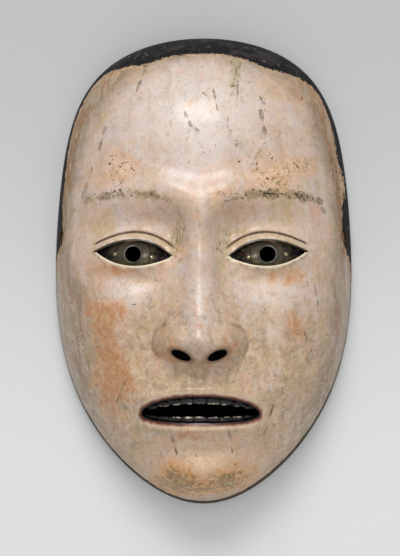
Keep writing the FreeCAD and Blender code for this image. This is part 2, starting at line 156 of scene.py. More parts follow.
def eye_local(x, y):
    """Place along and across the eye, from its pupil. The first grows to the outer corner."""
    return turned(np.abs(x) - eye_x, y - eye_level, EYE_TILT)


def lid_line(along, reach, lean, half=EYE_HALF):
    share = along / half
    return reach * (1 - share ** 2) * (1 - lean * share)


def between_lids(along, across, grow=0.0):
    """Millimetres inside the almond between the lids, grown by a margin."""
    half = EYE_HALF + CORNER_GROWTH * grow
    upper = lid_line(along, UPPER_LID + grow, UPPER_LEAN, half)
    lower = -lid_line(along, LOWER_LID + grow, LOWER_LEAN, half)
    return np.minimum(upper - across, across - lower)


def eye_opening(x, y):
    return between_lids(*eye_local(x, y))


def mouth_opening(x, y):
    """Millimetres inside the mouth's edge, negative outside it."""
    side = np.abs(x)
    dy = y - mouth_level + MOUTH_BOW * (side / HALF_MOUTH) ** 2
    reach = np.where(dy > 0, MOUTH_RISE, MOUTH_DROP)
    along = (side / HALF_MOUTH) ** MOUTH_POWER
    total = along + (dy / reach) ** 2 + 1e-9
    slope = np.hypot(MOUTH_POWER * along / (side + 1e-6), 2 * np.abs(dy) / reach ** 2) + 1e-9
    return 2 * (np.sqrt(total) - total) / slope


def nostril_opening(x, y):
    """About the millimetres inside either nostril's oval."""
    along, across = turned(np.abs(x) - NOSTRIL_X, y - nose_level - NOSTRIL_RISE, NOSTRIL_TURN)
    return NOSTRIL_SHORT * (1 - np.hypot(along / NOSTRIL_LONG, across / NOSTRIL_SHORT))


def nose_relief(x, y):
    side = np.abs(x)
    root, tip = eye_level + 11, nose_level + 8.5
    along = np.clip((root - y) / (root - tip), 0, 1)
    height = BRIDGE_HEIGHT + (NOSE_HEIGHT - BRIDGE_HEIGHT) * along ** 1.4
    height = np.where(y > root, BRIDGE_HEIGHT * (1 - smooth((y - root) / 26)), height)
    spread = np.where(y > root, 7.2 + 8 * smooth((y - root) / 22), 7.2 + 2.6 * along ** 2)
    base = nose_level - 2.5 + 0.055 * side ** 1.5
    below = np.clip((tip - y) / np.maximum(tip - base, 1e-3), 0, 1)
    height = height * np.where(y < tip, np.sqrt(1 - below ** 2.2), 1)
    ridge = np.exp(-(side / spread) ** 2.2)
    ball = 2.4 * bump(x, y, 0, tip + 0.8, 8.0, 7.4, power=2.6)
    wing = 8.6 * bump(side, y, NOSE_WIDTH * 0.32, nose_level + 7.2, 6.4, 7.0, turn=0.25, power=3.0)
    flank = 3.6 * bump(side, y, 8.0, nose_level + 17, 7.5, 15)
    return height * ridge + ball + wing * (1 - 0.35 * ridge) + flank * (1 - ridge)


def muzzle_relief(x, y):
    return 5.0 * bump(x, y, 0, mouth_level + 1, HALF_MOUTH + 1, 17, power=2.6)


def relief(x, y):
    """Everything that stands out from, or is cut into, the plain dome."""
    side = np.abs(x)
    forms = bumps(side, y, [
        (2.0, 0, brow_level + 34, 34, 26), (1.2, 0, brow_level, 9, 9),  # forehead
        (-5.6, 24, eye_level + 9.5, 19, 8.5, -0.05), (-4.2, 12.5, eye_level + 5, 6.5, 11),  # sockets
        (-2.0, 27, eye_level - 10, 18, 6), (4.2, 39, eye_level - 24, 17, 17),  # cheekbones
        (1.5, 30, mouth_level + 6, 14, 18), (-1.6, 54, brow_level + 8, 10, 22),  # cheeks and temples
        (-1.6, HALF_MOUTH + 3.5, mouth_level - 1.5, 4.0, 5.0),  # corners of the mouth
        (-3.2, 0, groove_level + 4.5, 17, 4.2), (5.2, 0, groove_level - 9.5, 17, 10, 0, 2.4),  # chin
    ])
    arch = brow_level + 2.5 + 3.0 * (1 - ((side - 27) / 26) ** 2)
    brow = 3.2 * near(y, arch, 7.5) * smooth((62 - side) / 22) * smooth((side + 6) / 20)
    eyeball = 5.2 * bump(*eye_local(x, y), 0, 0.5, EYE_HALF - 1, 8.4, power=2.6)
    outside = np.maximum(-mouth_opening(x, y), 0)
    lips = 1.7 * near(outside, 3.2, 2.6) * smooth((HALF_MOUTH + 4 - side) / 6)
    return forms + brow + eyeball + nose_relief(x, y) + muzzle_relief(x, y) + lips


def face_height(x, y):
    base, share = dome(x, y)
    return base + relief(x, y) * smooth(share / RIM_FADE)


def hollow_height(x, y):
    """The dome that the hollow follows: raised behind nose and mouth, held back at the sockets."""
    base, share = dome(x, y)
    raised = bumps(np.abs(x), y, [
        (7.0, 0, nose_level + 12, 10, 22), (3.0, 0, mouth_level, 24, 16), (-3.6, 16, eye_level + 6, 15, 14),
    ])
    return base + raised * smooth(share / RIM_FADE)


def sink(height, x, y, depth):
    """Surface points over the places, moved in by depth along the surface's own normals."""
    step = 0.05
    slope_x = (height(x + step, y) - height(x - step, y)) / (2 * step)
    slope_y = (height(x, y + step) - height(x, y - step)) / (2 * step)
    normal = np.stack([-slope_x, -slope_y, np.ones_like(x)], -1)
    normal /= np.linalg.norm(normal, axis=-1, keepdims=True)
    depth = np.broadcast_to(depth, x.shape)
    return np.stack([x, y, height(x, y)], -1) - normal * depth[..., None]


def under(height, x, y, depth):
    """Points of the sunk surface that lie straight above the places."""
    u, v = x, y
    for _ in range(6):
        moved = sink(height, u, v, depth)
        u, v = u + x - moved[..., 0], v + y - moved[..., 1]
    return sink(height, u, v, depth)


def refine(places, triangles, wanted):
    """Splits each wanted triangle in four, and its neighbours to match."""
    ends = np.sort(triangles[:, [[0, 1], [1, 2], [2, 0]]], axis=-1)
    keys = ends[..., 0] * len(places) + ends[..., 1]
    marked = np.unique(keys[wanted(places[triangles].mean(1))])
    split = np.isin(keys, marked)
    middle = len(places) + np.searchsorted(marked, keys)
    halves = (places[marked // len(places)] + places[marked % len(places)]) / 2
    made = [triangles[~split.any(1)]]
    # how many edges are split, where to start, and the new triangles by corner and edge middle
    for count, first, shapes in (
        (3, split, ("a ab ca", "ab b bc", "ca bc c", "ab bc ca")),
        (1, split, ("a ab c", "ab b c")),
        (2, ~split, ("a b bc", "a bc ca", "bc c ca")),
    ):
        chosen = split.sum(1) == count
        order = (first.argmax(1)[chosen][:, None] + np.arange(3)) % 3
        corners = [np.take_along_axis(numbers[chosen], order, 1).T for numbers in (triangles, middle)]
        known = dict(zip(("a", "b", "c", "ab", "bc", "ca"), (*corners[0], *corners[1])))
        made += [np.stack([known[name] for name in shape.split()], 1) for shape in shapes]
    return np.concatenate([places, halves]), np.concatenate(made)


def sheet(height, depth, across, along, fine=()):
    """Triangles over the whole mask and a little beyond its rim, smaller where fine says so."""
    a, b = np.meshgrid(*(GRID_EVENNESS * even + (1 - GRID_EVENNESS) * even ** 3
                         for even in (np.linspace(-1, 1, across), np.linspace(-1, 1, along))))
    p, q = a * np.sqrt(1 - b * b / 2), b * np.sqrt(1 - a * a / 2)
    radius = np.hypot(p, q) + 1e-9
    stretch = np.sin(radius * (RIM_SLOPE + BEYOND_RIM)) / math.sin(RIM_SLOPE) / radius
    p, q = p * stretch, q * stretch
    places = np.stack([half_width * p * outline_factor(q) / widest, half_height * q], -1).reshape(-1, 2)
    index = np.arange(across * along).reshape(along, across)
    low, right, up, both = index[:-1, :-1], index[:-1, 1:], index[1:, :-1], index[1:, 1:]
    flip = ((a[:-1, :-1] * b[:-1, :-1]) > 0)[..., None]
    first = np.where(flip, np.stack([low, right, up], -1), np.stack([low, right, both], -1))
    second = np.where(flip, np.stack([right, both, up], -1), np.stack([low, both, up], -1))
    triangles = np.concatenate([first.reshape(-1, 3), second.reshape(-1, 3)])
    for wanted in fine:
        places, triangles = refine(places, triangles, wanted)
    x, y = places.T
    return sink(height, x, y, depth(x, y) if callable(depth) else depth), triangles


def near_openings(reach):
    """Says which places lie within a reach of an opening's edge."""
    def wanted(places):
        gaps = [opening(*places.T) for opening in (eye_opening, mouth_opening, nostril_opening)]
        return np.abs(gaps).min(0) < reach
    return wanted


def narrowed(passed, low, high, steps):
    """Halves each range towards the place where a test stops being passed."""
    for _ in range(steps):
        middle = (low + high) / 2
        inside = passed(middle)
        low, high = np.where(inside, middle, low), np.where(inside, high, middle)
    return low, high


def cut_along(points, triangles, field):
    """Cuts triangles along the line where a field is 0, and leaves its positive side."""
    keep = field(points)
    inside = keep[triangles] > 0
    count = inside.sum(1)
    crossed = (count == 1) | (count == 2)
    mixed, flags = triangles[crossed], inside[crossed]
    one = flags.sum(1) == 1
    lone = np.where(one, flags.argmax(1), (~flags).argmax(1))
    a, b, c = (mixed[np.arange(len(mixed)), (lone + k) % 3] for k in range(3))
    ends = np.sort(np.concatenate([np.stack([a, b], 1), np.stack([a, c], 1)]), axis=1)
    edges, place = np.unique(ends, axis=0, return_inverse=True)
    ab, ac = (place.reshape(-1) + len(points)).reshape(2, -1)
    start, end = points[edges[:, 0]], points[edges[:, 1]]
    falling = keep[edges[:, 1]] <= 0
    low, high = narrowed(lambda share: (field(start + (end - start) * share[:, None]) > 0) == falling,
                         np.zeros(len(edges)), np.ones(len(edges)), 12)
    share = np.clip((low + high) / 2, 0.02, 0.98)[:, None]
    points = np.concatenate([points, start * (1 - share) + end * share])
    made = np.concatenate([
        triangles[count == 3],
        np.stack([a, ab, ac], 1)[one],
        np.stack([ab, b, c], 1)[~one],
        np.stack([ab, c, ac], 1)[~one],
    ])
    used, index = np.unique(made, return_inverse=True)
    return points[used], index.reshape(made.shape)


def trim(cut, *fields):
    for field in fields:
        cut = cut_along(*cut, field)
    return cut


def open_loops(triangles):
    """The sheet's open edges, as closed loops of point numbers."""
    pairs = set(map(tuple, triangles[:, [[0, 1], [1, 2], [2, 0]]].reshape(-1, 2).tolist()))
    onward = {a: b for a, b in pairs if (b, a) not in pairs}
    loops = []
    while onward:
        start, point = onward.popitem()
        loop = [start]
        while point != start:
            loop.append(point)
            point = onward.pop(point)
        loops.append(np.array(loop))
    return loops


def in_order(loop, shares):
    """A closed loop in its own order from its lowest share up, with shares that never fall."""
    steps = (np.roll(shares, -1) - shares + 0.5) % 1 - 0.5
    if steps.sum() < 0:
        return in_order(loop[::-1], shares[::-1])
    first = shares.argmin()
    rising = shares[first] + np.concatenate([[0], np.cumsum(np.roll(steps, -first))[:-1]])
    return np.roll(loop, -first).tolist(), np.maximum.accumulate(rising).tolist() + [1.5]


def wall(loop_a, shares_a, loop_b, shares_b):
    """Triangles between two closed loops whose points run alike by their shares."""
    (a, sa), (b, sb) = in_order(loop_a, shares_a), in_order(loop_b, shares_b)
    i = j = 0
    made = []
    while i < len(a) or j < len(b):
        here_a, here_b = a[i % len(a)], b[j % len(b)]
        if sa[min(i, len(a))] <= sb[min(j, len(b))] and i < len(a):
            i += 1
            made.append((here_a, a[i % len(a)], here_b))
        else:
            j += 1
            made.append((here_a, b[j % len(b)], here_b))
    return np.array(made)


class Skin:
    """Sheets and walls gathered into one closed mesh, each with its own paint number."""

    def __init__(self):
        self.points, self.triangles, self.paints = np.zeros((0, 3)), [], []

    def face(self, triangles, paint=0):
        self.triangles.append(triangles)
        self.paints.append(np.full(len(triangles), paint))

    def add_sheet(self, points, triangles):
        """Adds a sheet and gives its open loops."""
        start = len(self.points)
        self.points = np.concatenate([self.points, points])
        self.face(triangles + start)
        return [loop + start for loop in open_loops(triangles)]

    def join(self, loops, centre, axes=(0, 1), paint=0):
        """Walls the gap between two loops that run round one centre."""
        shares = []
        for loop in loops:
            dx, dy = (self.points[loop, axis] - centre[axis] for axis in axes)
            shares.append(np.arctan2(dy, dx) / (2 * np.pi) % 1)
        self.face(wall(loops[0], shares[0], loops[1], shares[1]), paint)

    def loop_near(self, loops, place):
        """The loop whose middle lies nearest to a place."""
        return min(loops, key=lambda loop: math.dist(self.points[loop, :len(place)].mean(0), place))

    def bridge(self, sheets, place, **how):
        """Walls the gap between the loops of two sheets that lie nearest to a place."""
        self.join([self.loop_near(loops, place) for loops in sheets], place, **how)

    def rims(self, sheets):
        return [max(loops, key=lambda loop: np.ptp(self.points[loop, 1])) for loops in sheets]

    def stack(self, rings, paint=0, closed=False):
        """Walls between rings of equally many points, and gives the first and last ring."""
        numbers = np.arange(len(rings) * len(rings[0])).reshape(len(rings), -1) + len(self.points)
        self.points = np.concatenate([self.points, *rings])
        for low, high in zip(numbers, np.roll(numbers, -1, axis=0) if closed else numbers[1:]):
            ends = np.roll(low, -1), np.roll(high, -1)
            self.face(np.stack([low, ends[0], high], 1), paint)
            self.face(np.stack([ends[0], ends[1], high], 1), paint)
        return numbers[0], numbers[-1]

    def piece(self, name, finishes, attributes, sharp=38):
        """The closed mesh in metres, its faces outwards."""
        mesh = bpy.data.meshes.new(name)
        mesh.from_pydata((self.points * MM).tolist(), [], np.concatenate(self.triangles).tolist())
        mesh.polygons.foreach_set("material_index", np.concatenate(self.paints).astype(np.int32))
        for key, values in attributes.items():
            mesh.attributes.new(key, "FLOAT", "POINT").data.foreach_set("value", values.astype(np.float32))
        work = bmesh.new()
        work.from_mesh(mesh)
        bmesh.ops.recalc_face_normals(work, faces=work.faces)
        work.to_mesh(mesh)
        work.free()
        mesh.shade_smooth()
        mesh.set_sharp_from_angle(angle=math.radians(sharp))
        for finish in finishes:
            mesh.materials.append(finish)
        made = bpy.data.objects.new(name, mesh)
        bpy.context.scene.collection.objects.link(made)
        return made


def clear_of(opening):
    """A field that is positive outside an opening."""
    return lambda points: -opening(points[:, 0], points[:, 1])


def above(level):
    return lambda points: points[:, 2] - level


def cord_hole(points):
    return np.hypot(points[:, 1] - CORD_LEVEL, points[:, 2] - CORD_RISE) - CORD_RADIUS


def clear_of_sight_bores(points):
    return np.hypot(np.abs(points[:, 0]) - eye_x, points[:, 1] - eye_level) - SIGHT_BORE


def eye_ring(side, share, hole, grow, depth, level=None):
    """A ring round a pupil, part of the way from a round hole to the grown almond's edge.

    It lies at a depth under the face, or at a level over the rim where one is given.
    """
    even = np.linspace(0, 2 * np.pi, EYE_POINTS + 1)[:-1]
    turn = even - CORNER_CROWDING * np.sin(2 * even)
    edge, _ = narrowed(lambda reach: between_lids(reach * np.cos(turn), reach * np.sin(turn), grow) > 0,
                       np.zeros_like(turn), np.full_like(turn, 2 * EYE_HALF), 30)
    reach = hole + share * (edge - hole)
    dx, dy = turned(reach * np.cos(turn), reach * np.sin(turn), -EYE_TILT)
    x, y = side * (eye_x + dx), eye_level + dy
    if level is not None:
        return np.stack([x, y, np.full_like(x, level)], -1)
    return under(face_height, x, y, depth)


def gouge_marks(x, y):
    """Depth of the long shallow scallops that the gouge leaves in the hollow."""
    sine_x, sine_y = disc_place(x, y)
    sine = np.minimum(np.hypot(sine_x, sine_y), 1) + 1e-9
    lean = np.arcsin(sine) / sine
    u, v = sine_x * lean * ARC_ACROSS / GOUGE_WIDTH, sine_y * lean * ARC_ALONG / GOUGE_LENGTH
    deepest = np.zeros_like(x)
    for step_u, step_v in np.ndindex(5, 5):
        cell_u, cell_v = np.floor(u) + step_u - 2, np.floor(v) + step_v - 2
        luck = [np.sin(cell_u * 127.1 + cell_v * 311.7 + k * 74.7) * 43758.5453 % 1 for k in range(4)]
        turn = 0.5 * (luck[2] - 0.5) + 0.25 * sine_x
        du, dv = u - cell_u - luck[0], v - cell_v - luck[1]
        du, dv = du + dv * turn, dv - du * turn * 0.3
        cut = (0.8 + 0.5 * luck[3]) * (1 - (du / 0.95) ** 2 - (dv / 1.05) ** 2)
        deepest = np.maximum(deepest, cut)
    return GOUGE_DEPTH * deepest


def srgb(red, green, blue):
    """A colour as it is seen, in steps of 255, to the light values that a finish holds."""
    shares = [step / 255 for step in (red, green, blue)]
    return *(s / 12.92 if s <= 0.04045 else ((s + 0.055) / 1.055) ** 2.4 for s in shares), 1.0


def feed(socket, value):
    """Gives a socket a value, or the result of a tone, a node or another socket."""
    if isinstance(value, bpy.types.Node):
        value = next(output for output in value.outputs if output.enabled)
    value = getattr(value, "socket", value)
    if isinstance(value, bpy.types.NodeSocket):
        socket.id_data.links.new(value, socket)
    else:
        socket.default_value = value


def step(tree, kind, *values, **named):
    """A new node. Settings are in small letters. Inputs are in order or by their capitalised name."""
    node = tree.nodes.new(kind)
    for key in [key for key in named if key[0].islower()]:
        setattr(node, key, named.pop(key))
    ready = [socket for socket in node.inputs if socket.enabled]
    for socket, value in zip(ready, values):
        feed(socket, value)
    for key, value in named.items():
        feed(next(socket for socket in ready if socket.name == key.replace("_", " ")), value)
    return node


def worked(operation, *terms):
    """A tone worked out from others and from plain numbers."""
    tree = next(term.socket.id_data for term in terms if isinstance(term, Tone))
    return Tone(step(tree, "ShaderNodeMath", *terms, operation=operation).outputs[0])


class Tone:
    """A number that varies over a finish."""

    def __init__(self, socket):
        self.socket = socket

    def __add__(self, other):
        return worked("ADD", self, other)

    def __sub__(self, other):
        return worked("SUBTRACT", self, other)

    def __rsub__(self, other):
        return worked("SUBTRACT", other, self)

    def __mul__(self, other):
        return worked("MULTIPLY", self, other)

    def rise(self, low, high):
        """0 below low, 1 above high and smooth between, or the other way round."""
        return Tone(step(self.socket.id_data, "ShaderNodeMapRange", self, low, high,
                         interpolation_type="SMOOTHSTEP").outputs[0])


class Finish:
    """A surface finish, built up as layers over a base colour. Sizes are in millimetres."""

    def __init__(self, name, colour, roughness, metallic=0.0, gloss=0.5):
        self.material = bpy.data.materials.new(name)
        self.material.use_nodes = True
        self.tree = self.material.node_tree
        self.shader = self.tree.nodes["Principled BSDF"]
        self.shader.inputs["Metallic"].default_value = metallic
        self.shader.inputs["Specular IOR Level"].default_value = gloss
        self.place = self.step("ShaderNodeTexCoord").outputs["Object"]
        self.colour, self.roughness, self.height = srgb(*colour), roughness, None

    def step(self, kind, *values, **named):
        return step(self.tree, kind, *values, **named)

    def field(self, name):
        """A number that the mesh carries at each point."""
        return Tone(self.step("ShaderNodeAttribute", attribute_name=name).outputs["Fac"])

    def spaced(self, cell, stretch=(1, 1, 1), turn=0.0, shift=0.0):
        """Object places in cells: stretched, turned about Z and moved on to other ground."""
        return self.step("ShaderNodeMapping", self.place, [shift * MM] * 3, (0, 0, turn),
                         [cell * MM * share for share in stretch], vector_type="TEXTURE").outputs[0]

    def noise(self, cell, detail=3.0, roughness=0.55, distortion=0.0, **spacing):
        return Tone(self.step("ShaderNodeTexNoise", Vector=self.spaced(cell, **spacing), Scale=1.0,
                              Detail=detail, Roughness=roughness, Distortion=distortion).outputs["Fac"])

    def cells(self, cell, feature="F1", wobble=0.0, **spacing):
        """Distance and a random number of scattered cells, their edges wobbled by a share."""
        place = self.spaced(cell, **spacing)
        if wobble:
            stir = self.step("ShaderNodeTexNoise", Vector=place, Scale=2.2).outputs["Color"]
            place = self.step("ShaderNodeVectorMath", stir, [wobble] * 3, place, operation="MULTIPLY_ADD")
        node = self.step("ShaderNodeTexVoronoi", feature=feature, Vector=place, Scale=1.0)
        return Tone(node.outputs["Distance"]), Tone(node.outputs.get("Color"))

    def mixed(self, share, below, above):
        kind = "RGBA" if isinstance(above, tuple) else "FLOAT"
        node = self.step("ShaderNodeMix", share, below, above, data_type=kind)
        return next(output for output in node.outputs if output.enabled)

    def lay(self, share, colour, roughness=None):
        """A layer over what is there, as far as its share lets it cover."""
        self.colour = self.mixed(share, self.colour, srgb(*colour))
        if roughness is not None:
            self.roughness = self.mixed(share, self.roughness, roughness)

    def lay_all(self, layers):
        """A row for each layer: a tone, where its rise starts and ends, share, colour and roughness."""
        for tone, low, high, share, *look in layers:
            self.lay(tone.rise(low, high) * share, *look)

    def emboss(self, *reliefs):
        """Raises the surface by tones, each with its height in millimetres."""
        for tone, height in reliefs:
            raised = tone * height
            self.height = raised if self.height is None else self.height + raised

    def done(self):
        feed(self.shader.inputs["Base Color"], self.colour)
        feed(self.shader.inputs["Roughness"], self.roughness)
        if self.height is not None:
            bumped = self.step("ShaderNodeBump", Distance=MM, Height=self.height)
            feed(self.shader.inputs["Normal"], bumped)
        return self.material


def cypress():
    """Bare wood, stained brown by breath and darker towards the rim, its straight grain running to the crown.
    """
    wood = Finish("cypress_wood", (150, 112, 74), 0.62)
    grown = wood.spaced(2.1, stretch=(1, 9, 1), shift=-37)
    grain = wood.step("ShaderNodeTexWave", wave_type="RINGS", rings_direction="Y", Vector=grown, Scale=0.314,
                      Distortion=2.4, Detail=2.0, Detail_Scale=0.12)
    grain = Tone(grain.outputs["Fac"])
    fibre = wood.noise(0.5, detail=4, stretch=(1, 34, 1))
    spots, luck = wood.cells(6, wobble=0.3)
    wood.lay_all([
        (grain, 0.3, 1.0, 0.55, (116, 80, 48)),
        (fibre, 0.45, 0.75, 0.5, (98, 66, 40)),
        (wood.noise(30, detail=2), 0.42, 0.62, 0.45, (172, 136, 96)),
        (wood.noise(7), 0.25, 0.6, wood.field("damp"), (70, 44, 27), 0.45),
        # darker towards the rim
        (wood.field("toward_rim"), 0.2, 1.0, 0.85, (58, 42, 30), 0.5),
        (spots, 0.14, 0.05, luck.rise(0.7, 0.72), (46, 30, 20)),
    ])
    wood.emboss((fibre, 0.10), (grain, 0.05), (wood.noise(1.2), 0.08))
    return wood.done()


def lid_cream():
    """Shell white on the lids' edges, yellowed and rubbed back to the wood in places."""
    cream = Finish("lid_cream", (222, 208, 176), 0.45)
    cream.lay(cream.noise(1.8, detail=4).rise(0.52, 0.68) * 0.8, (150, 116, 82), 0.6)
    cream.emboss((cream.noise(0.8), 0.08))
    return cream.done()


def mouth_black():
    """Ink black inside the lips and nostrils, rubbed to brown in places."""
    ink = Finish("mouth_black", (26, 21, 20), 0.5)
    ink.lay(ink.noise(4, detail=4).rise(0.5, 0.72), (62, 38, 28), 0.6)
    ink.emboss((ink.noise(0.9), 0.12))
    return ink.done()


WOOD, INK, LID = range(3)
shell = Skin()
front = sheet(face_height, COAT + GLUE, 90, 125, fine=[near_openings(3.0), near_openings(1.0)])
back = sheet(hollow_height, lambda x, y: WALL - gouge_marks(x, y), 150, 215)
pierced = (clear_of(mouth_opening), clear_of(nostril_opening), cord_hole, above(0.0))
loops = [shell.add_sheet(*trim(front, *pierced, clear_of(eye_opening))),
         shell.add_sheet(*trim(back, *pierced, clear_of_sight_bores))]
shell.join(shell.rims(loops), (0, 0), paint=WOOD)
for place in (MOUTH, *NOSTRILS):
    shell.bridge(loops, place, paint=INK)
for place in CORD_HOLES:
    shell.bridge(loops, place, axes=(1, 2), paint=WOOD)
for side, pupil in zip((-1, 1), PUPILS):
    seat, tuck = LID_DEPTH - FIT_GAP, PLATE_MARGIN + FIT_GAP
    floor = LID_DEPTH + PLATE_THICKNESS + FIT_GAP
    lid = [eye_ring(side, 1, RING_HOLE, 0, depth) for depth in (LID_ROUND, seat)]
    lid_top, lid_foot = shell.stack(lid, LID)
    shell.join([shell.loop_near(loops[0], pupil), lid_top], pupil, paint=LID)
    rings = [eye_ring(side, 1, RING_HOLE, tuck, seat)]
    rings += [eye_ring(side, share, RING_HOLE, tuck, floor) for share in INWARD]
    rings += [eye_ring(side, 0, radius, 0, None, level=ring_low[2]) for radius in (RING_HOLE, SIGHT_BORE)]
    pocket_edge, bore_edge = shell.stack(rings)
    shell.join([lid_foot, pocket_edge], pupil)
    shell.join([bore_edge, shell.loop_near(loops[1], pupil)], pupil)

shell.points[:, 2] = np.maximum(shell.points[:, 2], 0)
x, y, z = shell.points.T
breath = bumps(x, y, [(1, 0, nose_level, 20, 16), (1, 0, mouth_level, 30, 15)])
forehead = bump(x, y, 0, brow_level + 26, 40, 22)
wood = shell.piece("wood_shell_carved", [cypress(), mouth_black(), lid_cream()], {
    "damp": np.clip(0.8 * breath + 0.5 * forehead, 0, 1),
    "toward_rim": smooth((4.0 - z) / 4.0),
})
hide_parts("wood_shell")
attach(wood, "root")

# ---------------------------------------------------------------------------------------------
# Eye plates. Thin sheet metal is domed to the eyeball, slid behind the lids and gone dark with
# age. The iris is a low raised disc with turning marks, and the corners keep a blue-black paint.
# ---------------------------------------------------------------------------------------------
IRIS_RADIUS, IRIS_RISE, IRIS_EDGE = 7.4, 0.22, 0.6
PLATE_RINGS = 49


def dark_metal():
    """Tarnished brass, olive in the middle and blue-black where paint clings to the corners."""
    metal = Finish("dark_metal", (98, 92, 76), 0.4, metallic=0.85)
    radius, corner = metal.field("from_pupil"), metal.field("corner")
    haze = metal.noise(2.4, detail=4)
    iris_edge = worked("ABSOLUTE", radius - IRIS_RADIUS)
    flecks, luck = metal.cells(0.9, wobble=0.4)
    metal.lay_all([
        (haze, 0.35, 0.7, 0.6, (72, 68, 58), 0.55),
        (metal.noise(0.8, detail=3, shift=9), 0.56, 0.74, 0.5, (138, 128, 98), 0.4),
        (iris_edge + (haze - 0.5) * 0.8, 0.5, 0.1, 0.5, (40, 38, 34), 0.7),
        (corner + (haze - 0.5) * 0.9, 0.36, 0.74, 1.0, (24, 24, 28), 0.45),
        (metal.noise(1.5, detail=4, shift=30), 0.54, 0.66, 0.5, (112, 74, 56), 0.5),
        (flecks, 0.4, 0.2, luck.rise(0.86, 0.88) * corner.rise(0.35, 0.6), (190, 186, 172)),
    ])
    metal.emboss((worked("SINE", radius * 9.0), 0.012), (haze, 0.10))
    return metal.done()


plate_metal = dark_metal()
for name, side in (("left", -1), ("right", 1)):
    rings = []
    for share in np.linspace(0, 1, PLATE_RINGS):
        x, y, _ = eye_ring(side, share, RING_HOLE, PLATE_MARGIN, LID_DEPTH).T
        radius = np.hypot(np.abs(x) - eye_x, y - eye_level)
        iris = IRIS_RISE * smooth((IRIS_RADIUS + IRIS_EDGE / 2 - radius) / IRIS_EDGE)
        rings.append(under(face_height, x, y, LID_DEPTH - iris))
    rings += [eye_ring(side, share, RING_HOLE, PLATE_MARGIN, LID_DEPTH + PLATE_THICKNESS) for share in INWARD]
    plate = Skin()
    plate.stack(rings, closed=True)
    x, y, z = plate.points.T
    piece = plate.piece(f"{name}_eye_plate_domed", [plate_metal], {
        "from_pupil": np.hypot(np.abs(x) - eye_x, y - eye_level),
        "corner": np.abs(eye_local(x, y)[0]) / EYE_HALF,
    })
    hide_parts(f"{name}_eye_plate")
    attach(piece, "root")

# ---------------------------------------------------------------------------------------------
# Pupil rings. A short brass tube looks straight ahead through each plate, and its mouth is
# rolled over into a rounded lip that lies on the iris.
# ---------------------------------------------------------------------------------------------
PUPIL, TUBE = 3.3, 4.0
LIP_RADIUS, LIP_TOP, LIP_ROLL = 4.6, 1.7, 0.42
LIP_STEPS = 8


def brass_with_tube_light():
    """Dark brass, painted a paler grey down inside the tube as painted light on its lit wall."""
    brass = Finish("brass_with_tube_light", (88, 85, 74), 0.5, metallic=0.85)
    brass.lay_all([
        (brass.noise(1.6, detail=4), 0.4, 0.66, 0.7, (66, 63, 54), 0.6),
        # painted light: paler grey further down inside the tube
        (brass.field("painted_tube_light"), 0.1, 0.9, 1.0, (96, 94, 88), 0.45),
    ])
    brass.emboss((brass.noise(0.7), 0.05))
    return brass.done()


ring_metal = brass_with_tube_light()
for name, side in (("left", -1), ("right", 1)):
    foot = dict(depth=None, level=ring_low[2])
    middle, half = (PUPIL + LIP_RADIUS) / 2, (LIP_RADIUS - PUPIL) / 2
    rings = [eye_ring(side, 0, PUPIL, 0, **foot)]
    rings += [eye_ring(side, 0, PUPIL, 0, LIP_TOP + below) for below in (2.4, 1.0)]
    for turn in np.linspace(math.pi, 0, LIP_STEPS + 1):
        level = LIP_TOP + LIP_ROLL * (1 - math.sin(turn))
        rings.append(eye_ring(side, 0, middle + half * math.cos(turn), 0, level))
    rings += [eye_ring(side, 0, TUBE, 0, LID_DEPTH - GLUE), eye_ring(side, 0, TUBE, 0, **foot)]
    ring = Skin()
    ring.stack(rings, closed=True)
    painted_tube_light = np.clip((ring.points[:, 2].max() - ring.points[:, 2] - 0.8) / 3.0, 0, 1)
    piece = ring.piece(f"{name}_pupil_ring_rolled", [ring_metal], {"painted_tube_light": painted_tube_light})
    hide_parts(f"{name}_pupil_ring")
    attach(piece, "root")

# ---------------------------------------------------------------------------------------------
# Eye pins. Two small brass nails with domed heads hold each plate to the wood, one on each side
# of the pupil, driven square to the plate.
# ---------------------------------------------------------------------------------------------
PIN_SPACING = 18.0


